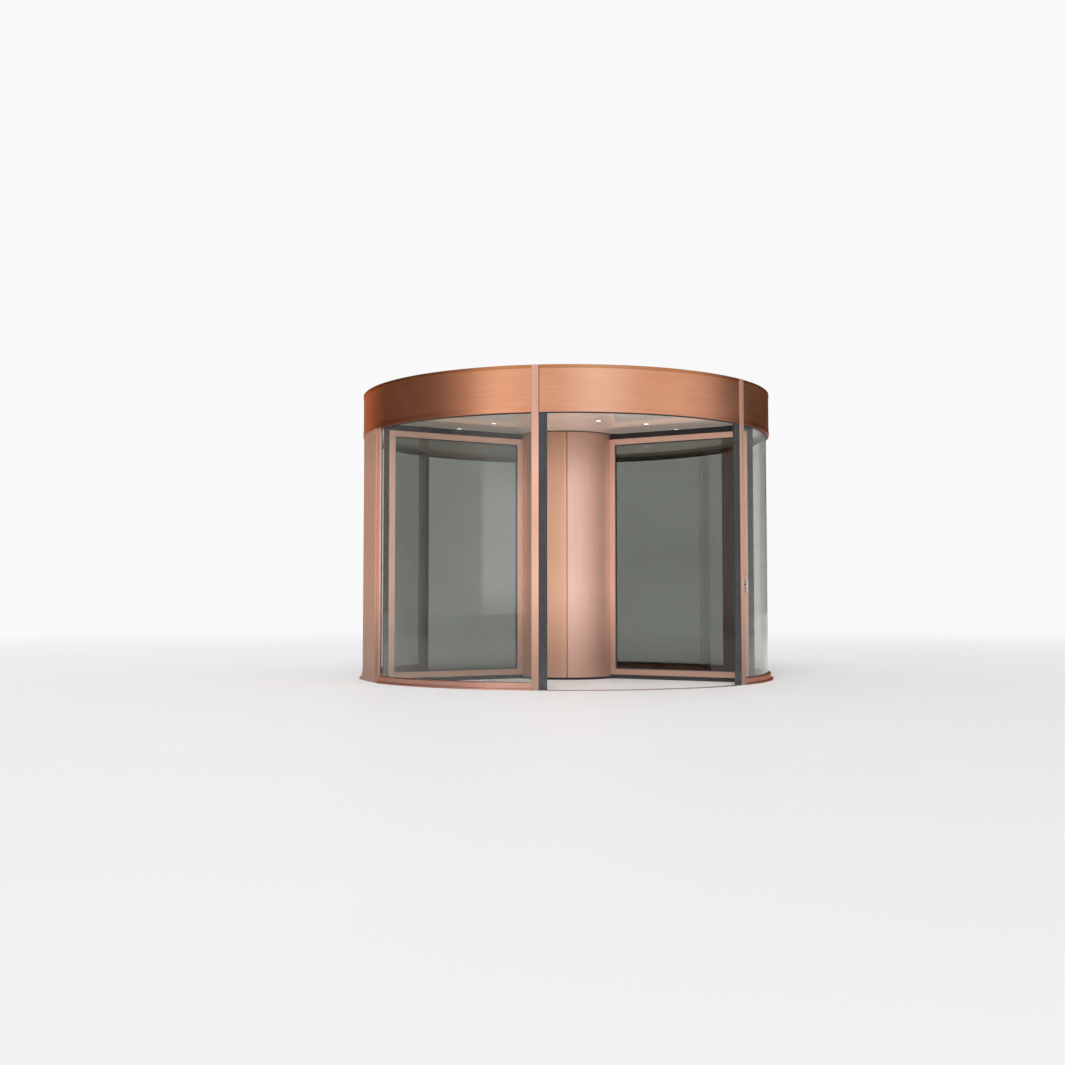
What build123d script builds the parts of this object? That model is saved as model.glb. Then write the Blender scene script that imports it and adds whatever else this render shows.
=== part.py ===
from build123d import *
import os
from math import asin, cos, degrees, radians, sin

# A large automatic revolving door: a round drum with a canopy, curved glass walls and
# two mouths, and inside it a rotor of three glazed wings on a wide clad column.
# Millimetres. The origin is on the floor at the drum's centre, +Z up, -Y out through
# the front mouth and +X to the right of it. A bearing is an angle about the drum's
# axis in degrees, 0 at -Y and growing towards +X.

# Fits between pieces
seat_gap = 0.3
running_gap = 0.05
sweep_clearance = 8
ceiling_clearance = 10
floor_clearance = 8

# Canopy
overall_height = 2850
canopy_radius = 2070
canopy_depth = 420
skin_thickness = 4
top_band_height = 30
bottom_band_height = 50
band_proud = 3
deck_thickness = 24
ceiling_recess = 38
ceiling_thickness = 18
seal_setback = 10
seal_height = 9

# Downlights in the ceiling
downlight_count = 15
downlight_bearing = -8
downlight_ring_radius = 1240
downlight_radius = 34
downlight_rim = 6
downlight_rim_proud = 2
downlight_depth = 46

# Posts
post_bearing = 30
post_width = 64
post_proud = 8
post_edge = 2.5
end_post_bearing = 82.5
end_post_width = 62
end_post_setback = 4
jamb_setback = 2

# Curved glass and its bottom rails
glass_setback = 28
glass_thickness = 12
glass_bite = 27
rail_height = 67
rail_foot_height = 20
rail_foot_proud = 53
rail_shoulder_proud = 30
rail_chamfer = 5

# Safety edges on the mouth sides of the posts
safety_edge_width = 70
safety_edge_setback = 12
safety_edge_nose = 12

# Thresholds across the mouths
threshold_height = 4
threshold_nose = 3

# Key switch on the front right post
switch_height = 920
switch_length = 125
switch_width = 32
switch_proud = 40
switch_offset = 14
switch_edge = 5
switch_barrel_radius = 9
switch_barrel_proud = 4
switch_barrel_drop = -8

# Floor bearing and drive
bearing_radius = 150
bearing_height = 10
pivot_radius = 30
pivot_height = 55
drive_radius = 210
drive_flange_radius = 300
drive_flange_height = 16
drive_cap = 100

# Column and shaft
column_radius = 518
column_skin = 3
column_head_gap = 8
column_seam = 4
shaft_radius = 80
shaft_wall = 10
shaft_plug = 80
plate_thickness = 20
plinth_setback = 26
plinth_height = 6
plinth_clearance = 6

# Wings
wing_bearings = (39, -81, 159)
wing_thickness = 50
stile_width = 60
wing_rail_height = 56
frame_edge = 3
wing_glass_thickness = 12
glazing_bite = 12
glazing_play = 2
gasket_width = 9
gasket_thickness = 6
brush_thickness = 14
brush_reach = 44
top_brush_reach = 50
bottom_brush_reach = 34
brush_bite = 6
brush_break = 1

# Sizes that follow from those above
glass_outer_radius = canopy_radius - glass_setback
glass_inner_radius = glass_outer_radius - glass_thickness
post_face_radius = canopy_radius + post_proud
foot_radius = glass_outer_radius + rail_foot_proud
shoulder_radius = glass_outer_radius + rail_shoulder_proud
canopy_underside = overall_height - canopy_depth
ceiling_underside = canopy_underside + ceiling_recess
ceiling_top = ceiling_underside + ceiling_thickness
deck_underside = overall_height - deck_thickness
shaft_top = deck_underside - drive_cap - seat_gap
sweep_radius = glass_inner_radius - sweep_clearance
stile_outer_radius = sweep_radius - brush_reach
stile_inner_radius = column_radius + seat_gap
base_foot = bearing_height + plinth_clearance
column_bottom = base_foot + plinth_height
column_top = ceiling_underside - column_head_gap
brush_top = ceiling_underside - ceiling_clearance
wing_top = brush_top - top_brush_reach
wing_bottom = floor_clearance + bottom_brush_reach
all_post_bearings = (-post_bearing, post_bearing, 180 - post_bearing, 180 + post_bearing)


def radial_plane(bearing: float) -> Plane:
    """Upright plane through the drum's axis, its x outwards at the bearing and its y up."""
    turn = radians(bearing)
    return Plane(
        origin=(0, 0, 0),
        x_dir=(sin(turn), -cos(turn), 0),
        z_dir=(-cos(turn), -sin(turn), 0),
    )


def drum_places(radius: float, bearings, across: float = 0) -> list[Location]:
    """Places on a circle about the axis, each with its x along the circle and its y inwards."""
    places = []
    for bearing in bearings:
        turn = radians(bearing)
        x = radius * sin(turn) + across * cos(turn)
        y = -radius * cos(turn) + across * sin(turn)
        places.append(Location((x, y, 0), (0, 0, bearing)))
    return places


def beside(half_width: float, radius: float) -> float:
    """Degrees from a post's centre to a curved piece that is seated against its side."""
    return degrees(asin((half_width + seat_gap) / radius))


def curved_pieces(profile: Sketch, spans) -> Part:
    """Turns a profile, drawn with x as the radius and y as the height, through each span."""
    with BuildPart() as pieces:
        for start, end in spans:
            with BuildSketch(radial_plane(start)):
                add(profile)
            revolve(axis=Axis.Z, revolution_arc=end - start)
    return pieces.part


def box_profile(inner: float, outer: float, bottom: float, top: float) -> Sketch:
    """Rectangle between two radii and two heights."""
    with BuildSketch() as profile:
        with Locations((inner, bottom)):
            Rectangle(outer - inner, top - bottom, align=Align.MIN)
    return profile.sketch


def save_piece(piece: Part, name: str) -> None:
    """Labels a finished piece and writes it."""
    piece.label = name
    export_step(piece, f"parts/{name}.step")


os.makedirs("parts", exist_ok=True)

# Spans of bearing between the posts, and in the mouths between their safety edges. A
# piece's ends clear the flat sides of its neighbours at its innermost radius.
post_clear = beside(post_width / 2, glass_inner_radius)
end_clear = beside(end_post_width / 2, glass_inner_radius)
front_span = (-post_bearing + post_clear, post_bearing - post_clear)
right_span = (post_bearing + post_clear, 180 - post_bearing - post_clear)
back_span = (180 - post_bearing + post_clear, 180 + post_bearing - post_clear)
left_span = (180 + post_bearing + post_clear, 360 - post_bearing - post_clear)
canopy_spans = {"front": front_span, "right": right_span, "back": back_span, "left": left_span}
glass_spans = {
    "front_right": (post_bearing + post_clear, end_post_bearing - end_clear),
    "back_right": (180 - end_post_bearing + end_clear, 180 - post_bearing - post_clear),
    "back_left": (180 + post_bearing + post_clear, 180 + end_post_bearing - end_clear),
    "front_left": (360 - end_post_bearing + end_clear, 360 - post_bearing - post_clear),
}
edge_across = post_width / 2 + seat_gap
mouth_clear = degrees(asin((edge_across + safety_edge_width) / glass_inner_radius))
mouth_spans = [
    (turn - post_bearing + mouth_clear, turn + post_bearing - mouth_clear) for turn in (0, 180)
]

# Canopy cladding: a sheet bent over at the top and the bottom, one piece between two posts
with BuildSketch() as fascia_profile:
    with BuildLine():
        Polyline(
            (canopy_radius, canopy_underside),
            (canopy_radius, overall_height),
            (glass_inner_radius, overall_height),
            (glass_inner_radius, overall_height - skin_thickness),
            (canopy_radius - skin_thickness, overall_height - skin_thickness),
            (canopy_radius - skin_thickness, canopy_underside + skin_thickness),
            (glass_outer_radius + seat_gap, canopy_underside + skin_thickness),
            (glass_outer_radius + seat_gap, canopy_underside),
            close=True,
        )
    make_face()
for side, span in canopy_spans.items():
    save_piece(curved_pieces(fascia_profile.sketch, [span]), f"canopy_fascia_{side}")

# Flat bands along the cladding's upper and lower edges
band_heights = (
    (overall_height - top_band_height, overall_height),
    (canopy_underside, canopy_underside + bottom_band_height),
)
with BuildPart() as canopy_bands:
    for low, high in band_heights:
        band = box_profile(canopy_radius + seat_gap, canopy_radius + band_proud, low, high)
        add(curved_pieces(band, canopy_spans.values()))
save_piece(canopy_bands.part, "canopy_bands")

# Headers over the mouths, which close the cladding's inner side up to the ceiling
header = box_profile(glass_inner_radius, glass_outer_radius, canopy_underside, ceiling_top)
save_piece(curved_pieces(header, [front_span, back_span]), "mouth_headers")

# Black seals under the cladding's lower edge: a shadow line above the glass and the mouths
seal_top = canopy_underside - seat_gap
seal = box_profile(
    glass_outer_radius + seat_gap,
    canopy_radius - seal_setback,
    seal_top - seal_height,
    seal_top,
)
save_piece(curved_pieces(seal, [*glass_spans.values(), *mouth_spans]), "canopy_seals")

# Deck that closes the canopy, and the ceiling with its downlight holes
with BuildPart() as canopy_deck:
    with BuildSketch(Plane.XY.offset(deck_underside)):
        Circle(glass_inner_radius - seat_gap)
    extrude(amount=deck_thickness)
save_piece(canopy_deck.part, "canopy_deck")

downlight_places = PolarLocations(
    downlight_ring_radius, downlight_count, start_angle=downlight_bearing - 90
)
with BuildPart() as ceiling:
    with BuildSketch(Plane.XY.offset(ceiling_underside)):
        Circle(glass_inner_radius - seat_gap)
        Circle(shaft_radius + sweep_clearance, mode=Mode.SUBTRACT)
        with downlight_places:
            Circle(downlight_radius, mode=Mode.SUBTRACT)
    extrude(amount=ceiling_thickness)
save_piece(ceiling.part, "ceiling")

# Downlights: a can in each hole and a flat rim under the ceiling
with BuildPart() as downlights:
    with BuildSketch(Plane.XY.offset(ceiling_underside)):
        with downlight_places:
            Circle(downlight_radius - seat_gap)
    extrude(amount=downlight_depth)
    with BuildSketch(Plane.XY.offset(ceiling_underside)):
        with downlight_places:
            Circle(downlight_radius + downlight_rim)
    extrude(amount=-downlight_rim_proud)
save_piece(downlights.part, "downlights")

# Mouth posts: clad posts that run past the cladding to the top of the canopy
post_depth = post_face_radius - glass_inner_radius
with BuildPart() as mouth_posts:
    with BuildSketch() as post_section:
        with Locations(*drum_places(post_face_radius, all_post_bearings)):
            Rectangle(post_width, post_depth, align=(Align.CENTER, Align.MIN))
        chamfer(post_section.vertices(), post_edge)
    extrude(amount=overall_height)
save_piece(mouth_posts.part, "mouth_posts")

# End posts, where the glass walls stop at the building's wall
end_bearings = (
    end_post_bearing,
    180 - end_post_bearing,
    180 + end_post_bearing,
    360 - end_post_bearing,
)
end_post_face = canopy_radius - end_post_setback
with BuildPart() as end_posts:
    with BuildSketch() as end_section:
        with Locations(*drum_places(end_post_face, end_bearings)):
            Rectangle(
                end_post_width,
                end_post_face - glass_inner_radius,
                align=(Align.CENTER, Align.MIN),
            )
        chamfer(end_section.vertices(), post_edge)
    extrude(amount=canopy_underside)
save_piece(end_posts.part, "end_posts")

# Wall jambs between the end posts: flat outside for the building's wall, round inside
jamb_face = canopy_radius - jamb_setback
jamb_turn = 90 - end_post_bearing - end_clear
jamb_half = glass_inner_radius * sin(radians(jamb_turn))
jamb_corner = glass_inner_radius * cos(radians(jamb_turn))
for side, turn in (("right", 0), ("left", 180)):
    with BuildPart() as jamb:
        with BuildSketch(Plane.XY.rotated((0, 0, turn))):
            with BuildLine():
                Polyline(
                    (jamb_corner, jamb_half),
                    (jamb_face, jamb_half),
                    (jamb_face, -jamb_half),
                    (jamb_corner, -jamb_half),
                )
                ThreePointArc(
                    (jamb_corner, -jamb_half),
                    (glass_inner_radius, 0),
                    (jamb_corner, jamb_half),
                )
            make_face()
        extrude(amount=canopy_underside)
    save_piece(jamb.part, f"wall_jamb_{side}")

# Curved glass, standing in the bottom rails and held between the cladding and the ceiling
glass_bottom = rail_height - glass_bite
for side, span in glass_spans.items():
    pane = box_profile(glass_inner_radius, glass_outer_radius, glass_bottom, ceiling_top)
    save_piece(curved_pieces(pane, [span]), f"wall_glass_{side}")

# Bottom rails: a stepped skirting with a chamfered shoulder, rebated for the glass
with BuildSketch() as rail_profile:
    with BuildLine():
        Polyline(
            (glass_inner_radius, 0),
            (foot_radius, 0),
            (foot_radius, rail_foot_height),
            (shoulder_radius, rail_foot_height),
            (shoulder_radius, rail_height),
            (glass_outer_radius + seat_gap, rail_height),
            (glass_outer_radius + seat_gap, glass_bottom),
            (glass_inner_radius, glass_bottom),
            close=True,
        )
    make_face()
    shoulder = rail_profile.vertices().filter_by(
        lambda v: v.X >= shoulder_radius and v.Y >= rail_foot_height
    )
    chamfer(shoulder, rail_chamfer)
for side, span in glass_spans.items():
    save_piece(curved_pieces(rail_profile.sketch, [span]), f"bottom_rail_{side}")

# Safety edges: full-height rubber profiles with a rounded nose towards the mouth
edge_face = post_face_radius - safety_edge_setback
edge_depth = edge_face - glass_inner_radius
edge_shift = edge_across + safety_edge_width / 2
with BuildPart() as safety_edges:
    for bearing in all_post_bearings:
        inward = 1 if bearing in (-post_bearing, 180 - post_bearing) else -1
        with BuildSketch() as edge_section:
            with Locations(*drum_places(edge_face, [bearing], inward * edge_shift)):
                Rectangle(safety_edge_width, edge_depth, align=(Align.CENTER, Align.MIN))
            nose = edge_section.vertices().sort_by_distance(
                (0, edge_face * (-1 if abs(bearing) <= post_bearing else 1), 0)
            )[0:2]
            fillet(nose, safety_edge_nose)
        extrude(amount=canopy_underside)
save_piece(safety_edges.part, "safety_edges")

# Thresholds: low curved strips between the safety edges' feet
with BuildSketch() as threshold_profile:
    add(box_profile(glass_inner_radius, foot_radius, 0, threshold_height))
    chamfer(threshold_profile.vertices().group_by(Axis.Y)[-1], threshold_nose)
save_piece(curved_pieces(threshold_profile.sketch, mouth_spans), "thresholds")

# Key switch: a small housing on the post's face with a key barrel on the mouth side
switch_bottom = switch_height - switch_length / 2
with BuildPart() as key_switch:
    with BuildSketch(Plane.XY.offset(switch_bottom)):
        with Locations(
            *drum_places(post_face_radius + switch_proud, [post_bearing], switch_offset)
        ):
            Rectangle(switch_width, switch_proud, align=(Align.CENTER, Align.MIN))
    extrude(amount=switch_length)
    outward = Vector(sin(radians(post_bearing)), -cos(radians(post_bearing)), 0)
    outer_face = key_switch.faces().sort_by(Axis((0, 0, 0), outward))[-1]
    fillet(outer_face.edges(), switch_edge)
save_piece(key_switch.part, "key_switch")

switch_side = Plane(
    origin=drum_places(
        post_face_radius + switch_proud / 2,
        [post_bearing],
        switch_offset - switch_width / 2,
    )[0].position
    + Vector(0, 0, switch_height - switch_barrel_drop),
    z_dir=(-cos(radians(post_bearing)), -sin(radians(post_bearing)), 0),
)
with BuildPart() as key_barrel:
    with BuildSketch(switch_side):
        Circle(switch_barrel_radius)
    extrude(amount=switch_barrel_proud)
    with BuildSketch(switch_side.offset(switch_barrel_proud)):
        SlotOverall(switch_barrel_radius * 1.2, switch_barrel_radius * 0.35, rotation=90)
    extrude(amount=-switch_barrel_proud / 2, mode=Mode.SUBTRACT)
save_piece(key_barrel.part, "key_barrel")

# Floor bearing: a low disc with the pivot that the shaft stands on
with BuildPart() as floor_bearing:
    with BuildSketch():
        Circle(bearing_radius)
    extrude(amount=bearing_height)
    with BuildSketch(Plane.XY.offset(bearing_height)):
        Circle(pivot_radius)
    extrude(amount=pivot_height)
    chamfer(floor_bearing.edges().group_by(Axis.Z)[-1], frame_edge)
save_piece(floor_bearing.part, "floor_bearing")

# Drive unit under the deck, with the bore that holds the shaft's head
with BuildSketch() as drive_profile:
    with BuildLine():
        Polyline(
            (shaft_radius + running_gap, ceiling_top),
            (drive_radius, ceiling_top),
            (drive_radius, deck_underside - drive_flange_height),
            (drive_flange_radius, deck_underside - drive_flange_height),
            (drive_flange_radius, deck_underside),
            (0, deck_underside),
            (0, shaft_top + seat_gap),
            (shaft_radius + running_gap, shaft_top + seat_gap),
            close=True,
        )
    make_face()
save_piece(curved_pieces(drive_profile.sketch, [(0, 360)]), "drive_unit")

# Rotor shaft: a tube with a solid foot that is bored for the pivot
shaft_bottom = bearing_height + seat_gap
bore_radius = pivot_radius + running_gap
with BuildSketch() as shaft_profile:
    with BuildLine():
        Polyline(
            (bore_radius, shaft_bottom),
            (shaft_radius, shaft_bottom),
            (shaft_radius, shaft_top),
            (shaft_radius - shaft_wall, shaft_top),
            (shaft_radius - shaft_wall, shaft_bottom + shaft_plug),
            (bore_radius, shaft_bottom + shaft_plug),
            close=True,
        )
    make_face()
save_piece(curved_pieces(shaft_profile.sketch, [(0, 360)]), "rotor_shaft")

# Column plates: discs that carry the skin, each with a dark recessed plinth
skin_inner = column_radius - column_skin
plate_radius = skin_inner - seat_gap
plinth_radius = column_radius - plinth_setback
hub_radius = shaft_radius + seat_gap
with BuildSketch() as base_profile:
    with BuildLine():
        Polyline(
            (hub_radius, base_foot),
            (plinth_radius, base_foot),
            (plinth_radius, column_bottom),
            (plate_radius, column_bottom),
            (plate_radius, column_bottom + plate_thickness),
            (hub_radius, column_bottom + plate_thickness),
            close=True,
        )
    make_face()
save_piece(curved_pieces(base_profile.sketch, [(0, 360)]), "column_base")

head_top = column_top + column_head_gap / 2
with BuildSketch() as head_profile:
    with BuildLine():
        Polyline(
            (hub_radius, head_top),
            (plinth_radius, head_top),
            (plinth_radius, column_top),
            (plate_radius, column_top),
            (plate_radius, column_top - plate_thickness),
            (hub_radius, column_top - plate_thickness),
            close=True,
        )
    make_face()
save_piece(curved_pieces(head_profile.sketch, [(0, 360)]), "column_head")

# Column skin: one rolled sheet behind each wing, with open seams between the wings
seam_half = degrees(asin(column_seam / 2 / column_radius))
skin_spans = [(bearing - 60 + seam_half, bearing + 60 - seam_half) for bearing in wing_bearings]
column_sheet = box_profile(skin_inner, column_radius, column_bottom, column_top)
save_piece(curved_pieces(column_sheet, skin_spans), "column_panels")

# Wing frame sizes, along the wing and up it
clear_inner = stile_inner_radius + stile_width
clear_outer = stile_outer_radius - stile_width
clear_bottom = wing_bottom + wing_rail_height
clear_top = wing_top - wing_rail_height
groove_width = wing_glass_thickness + glazing_play
brush_groove = brush_thickness + 2 * seat_gap

gasket_rings = []
for number, bearing in enumerate(wing_bearings, start=1):
    # Stiles: rounded tubes, grooved for the glass and, on the outer one, for the brush
    with BuildPart() as stiles:
        with BuildSketch(Plane.XY.offset(wing_bottom)) as stile_section:
            for near, far in (
                (stile_inner_radius, clear_inner),
                (clear_outer, stile_outer_radius),
            ):
                with Locations(*drum_places(far, [bearing])):
                    Rectangle(wing_thickness, far - near, align=(Align.CENTER, Align.MIN))
            fillet(stile_section.vertices(), frame_edge)
            with Locations(
                *drum_places(clear_inner, [bearing]),
                *drum_places(clear_outer + glazing_bite, [bearing]),
            ):
                Rectangle(
                    groove_width,
                    glazing_bite,
                    align=(Align.CENTER, Align.MIN),
                    mode=Mode.SUBTRACT,
                )
            with Locations(*drum_places(stile_outer_radius, [bearing])):
                Rectangle(
                    brush_groove,
                    brush_bite + seat_gap,
                    align=(Align.CENTER, Align.MIN),
                    mode=Mode.SUBTRACT,
                )
        extrude(amount=wing_top - wing_bottom)
    save_piece(stiles.part, f"wing_{number}_stiles")

    # Rails between the stiles, grooved for the glass on one side and the brush on the other
    wing_section = Plane(
        origin=drum_places(clear_inner, [bearing])[0].position,
        x_dir=(cos(radians(bearing)), sin(radians(bearing)), 0),
        z_dir=(sin(radians(bearing)), -cos(radians(bearing)), 0),
    )
    up = 1 if wing_section.y_dir.Z > 0 else -1
    with BuildPart() as rails:
        for low, high, glass_edge, brush_edge in (
            (wing_bottom, clear_bottom, clear_bottom, wing_bottom),
            (clear_top, wing_top, clear_top, wing_top),
        ):
            toward_glass = 1 if glass_edge == high else -1
            with BuildSketch(wing_section) as rail_section:
                with Locations((0, up * (low + high) / 2)):
                    Rectangle(wing_thickness, high - low)
                fillet(rail_section.vertices(), frame_edge)
                with Locations((0, up * (glass_edge - toward_glass * glazing_bite / 2))):
                    Rectangle(groove_width, glazing_bite, mode=Mode.SUBTRACT)
                with Locations((0, up * (brush_edge + toward_glass * (brush_bite + seat_gap) / 2))):
                    Rectangle(brush_groove, brush_bite + seat_gap, mode=Mode.SUBTRACT)
            extrude(amount=clear_outer - clear_inner)
    save_piece(rails.part, f"wing_{number}_rails")

    # Glass pane in the grooves
    pane_inner = clear_inner - glazing_bite + glazing_play
    pane_outer = clear_outer + glazing_bite - glazing_play
    pane_bottom = clear_bottom - glazing_bite + glazing_play
    pane_top = clear_top + glazing_bite - glazing_play
    with BuildPart() as pane:
        with BuildSketch(Plane.XY.offset(pane_bottom)):
            with Locations(*drum_places(pane_outer, [bearing])):
                Rectangle(
                    wing_glass_thickness,
                    pane_outer - pane_inner,
                    align=(Align.CENTER, Align.MIN),
                )
        extrude(amount=pane_top - pane_bottom)
    save_piece(pane.part, f"wing_{number}_glass")

    # Brushes: the outer edge from floor to ceiling, and the bottom and top between it
    # and the column
    with BuildPart() as brushes:
        with BuildSketch(Plane.XY.offset(floor_clearance)):
            with Locations(*drum_places(sweep_radius, [bearing])):
                Rectangle(
                    brush_thickness,
                    brush_reach + brush_bite,
                    align=(Align.CENTER, Align.MIN),
                )
        extrude(amount=brush_top - floor_clearance)
        strip_outer = stile_outer_radius - brush_bite - brush_break
        tongue_outer = clear_outer - seat_gap
        for root, tip, bite in (
            (wing_bottom, floor_clearance, brush_bite),
            (wing_top, brush_top, -brush_bite),
        ):
            with BuildSketch(Plane.XY.offset(root)):
                with Locations(*drum_places(strip_outer, [bearing])):
                    Rectangle(
                        brush_thickness,
                        strip_outer - stile_inner_radius,
                        align=(Align.CENTER, Align.MIN),
                    )
            extrude(amount=tip - root)
            with BuildSketch(Plane.XY.offset(root)):
                with Locations(*drum_places(tongue_outer, [bearing])):
                    Rectangle(
                        brush_thickness,
                        tongue_outer - clear_inner - seat_gap,
                        align=(Align.CENTER, Align.MIN),
                    )
            extrude(amount=bite)
    save_piece(brushes.part, f"wing_{number}_brushes")

# Glazing gaskets: a black ring on each face of each wing's glass, inside the frame
with BuildPart() as glazing_gaskets:
    for bearing in wing_bearings:
        turn = radians(bearing)
        for side in (-1, 1):
            face = side * wing_glass_thickness / 2
            centre = (clear_inner + clear_outer) / 2
            start = drum_places(centre, [bearing], face)[0].position
            ring_plane = Plane(
                origin=start + Vector(0, 0, (clear_bottom + clear_top) / 2),
                x_dir=(sin(turn), -cos(turn), 0),
                z_dir=(side * cos(turn), side * sin(turn), 0),
            )
            with BuildSketch(ring_plane):
                Rectangle(clear_outer - clear_inner, clear_top - clear_bottom)
                Rectangle(
                    clear_outer - clear_inner - 2 * gasket_width,
                    clear_top - clear_bottom - 2 * gasket_width,
                    mode=Mode.SUBTRACT,
                )
            extrude(amount=gasket_thickness)
save_piece(glazing_gaskets.part, "glazing_gaskets")
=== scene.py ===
"""Looks of a three-wing revolving door, in metres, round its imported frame.

The drum's axis is the Z axis. A bearing is an angle about it in degrees, 0 out through the
front mouth (-Y) and growing towards +X.
"""

import logging
import math
from collections.abc import Iterable, Sequence
from dataclasses import dataclass, field, replace
from enum import Enum
from typing import Any

import bmesh
import bpy
import numpy as np
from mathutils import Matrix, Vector


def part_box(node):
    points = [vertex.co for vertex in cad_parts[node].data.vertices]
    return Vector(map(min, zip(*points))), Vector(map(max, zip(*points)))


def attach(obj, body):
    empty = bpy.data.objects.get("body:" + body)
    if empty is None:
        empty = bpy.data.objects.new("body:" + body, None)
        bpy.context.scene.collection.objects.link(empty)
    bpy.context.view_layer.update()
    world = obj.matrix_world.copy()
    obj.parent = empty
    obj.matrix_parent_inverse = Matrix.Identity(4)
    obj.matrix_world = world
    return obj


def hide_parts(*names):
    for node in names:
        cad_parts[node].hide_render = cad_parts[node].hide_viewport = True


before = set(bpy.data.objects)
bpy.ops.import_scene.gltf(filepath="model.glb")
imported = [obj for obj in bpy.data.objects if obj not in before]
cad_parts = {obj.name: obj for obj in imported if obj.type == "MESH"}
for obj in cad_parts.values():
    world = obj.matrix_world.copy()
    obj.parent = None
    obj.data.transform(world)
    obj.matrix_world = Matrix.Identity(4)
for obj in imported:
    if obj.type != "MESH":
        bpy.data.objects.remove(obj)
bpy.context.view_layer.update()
GRAIN_MAP = "grain"
BACKDROP = (0.95, 0.95, 0.95)

# Bearings: the wings, the mouths, the cladding's sides and the middles of the curved panes
WING_BEARINGS = (39.0, -81.0, 159.0)
MOUTHS = (0, 180)
SIDES = {"front": 0, "right": 90, "back": 180, "left": 270}
PANES = {"front_right": 57, "back_right": 123, "back_left": 237, "front_left": 303}

# How far from a mouth's middle its points are counted, in degrees, then two thin clearances
# and the turn past which an edge is sharp
MOUTH_REACH = 60
SEAT_GAP = 0.0003
HAIR = 0.0002
SHARP = math.radians(32)

UP = np.array([0.0, 0.0, 1.0])
Array = np.ndarray
Colour = tuple[float, float, float]
report = logging.getLogger("revolving_door")


def polar(radius: Any, bearing: Any, height: Any) -> Array:
    """Points from cylinder coordinates: x is radius times sine, y is minus radius times cosine.

    Args:
        radius: distance from the axis, in metres.
        bearing: angle about the axis, in degrees.
        height: distance above the floor, in metres.

    Returns:
        Points with the arguments' common shape and a last axis of 3.
    """
    turn = np.radians(bearing)
    return np.stack(np.broadcast_arrays(radius * np.sin(turn), -radius * np.cos(turn), height), -1)


def directions(bearing: float) -> Array:
    """A bearing's unit vectors, one a row: across it to larger bearings, away from the axis, up."""
    turn = math.radians(bearing)
    return np.array([(math.cos(turn), math.sin(turn), 0), (math.sin(turn), -math.cos(turn), 0), UP])


def outline(points: Iterable[Sequence[float]], radii: float | Sequence[float], steps: int = 5) -> Array:
    """Closed outline with rounded corners.

    Each corner becomes the arc that is tangent to both its sides. Its centre lies on the
    corner's bisector, at the radius over the sine of half the angle, and its points are the
    centre plus the radius times a unit vector that turns evenly between the tangent points.
    A further point on each side, half a radius beyond the tangent point, keeps the shading
    of the straight side flat.

    Args:
        points: the corners in order.
        radii: one radius for all corners, or one for each. A zero keeps the corner sharp.
        steps: parts that an arc is divided into.

    Returns:
        The outline's points, (n, 2).
    """
    corner = np.asarray(list(points), float)
    radius = np.broadcast_to(np.asarray(radii, float), len(corner))
    to_last = np.roll(corner, 1, 0) - corner
    to_next = np.roll(corner, -1, 0) - corner
    to_last /= np.linalg.norm(to_last, axis=1, keepdims=True)
    to_next /= np.linalg.norm(to_next, axis=1, keepdims=True)
    half = np.arccos(np.clip((to_last * to_next).sum(1), -1, 1)) / 2
    bisector = to_last + to_next
    length = np.linalg.norm(bisector, axis=1, keepdims=True)
    bisector = bisector / np.where(length > 1e-9, length, 1)
    centre = corner + bisector * (radius / np.sin(half))[:, None]
    first = corner + to_last * (radius / np.tan(half))[:, None] - centre
    last = corner + to_next * (radius / np.tan(half))[:, None] - centre
    start = np.arctan2(first[:, 1], first[:, 0])
    turn = np.arctan2(last[:, 1], last[:, 0]) - start
    turn = (turn + np.pi) % (2 * np.pi) - np.pi
    angle = start[:, None] + turn[:, None] * np.linspace(0, 1, steps + 1)
    arc = centre[:, None] + radius[:, None, None] * np.stack([np.cos(angle), np.sin(angle)], -1)
    free_before = np.linalg.norm(arc[:, 0] - np.roll(arc[:, -1], 1, 0), axis=1)
    free_after = np.roll(free_before, -1)
    before = arc[:, 0] + to_last * np.minimum(radius / 2, free_before / 4)[:, None]
    after = arc[:, -1] + to_next * np.minimum(radius / 2, free_after / 4)[:, None]
    rounded = np.concatenate([before[:, None], arc, after[:, None]], 1).reshape(-1, 2)
    apart = np.linalg.norm(rounded - np.roll(rounded, 1, 0), axis=1) > 1e-7
    return rounded[apart]


def rectangle(left: float, right: float, low: float, high: float, radii: Any = 0.0, steps: int = 5) -> Array:
    """Rectangle as an outline from its lower left corner, anticlockwise, with rounded corners."""
    return outline([(left, low), (right, low), (right, high), (left, high)], radii, steps)


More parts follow.
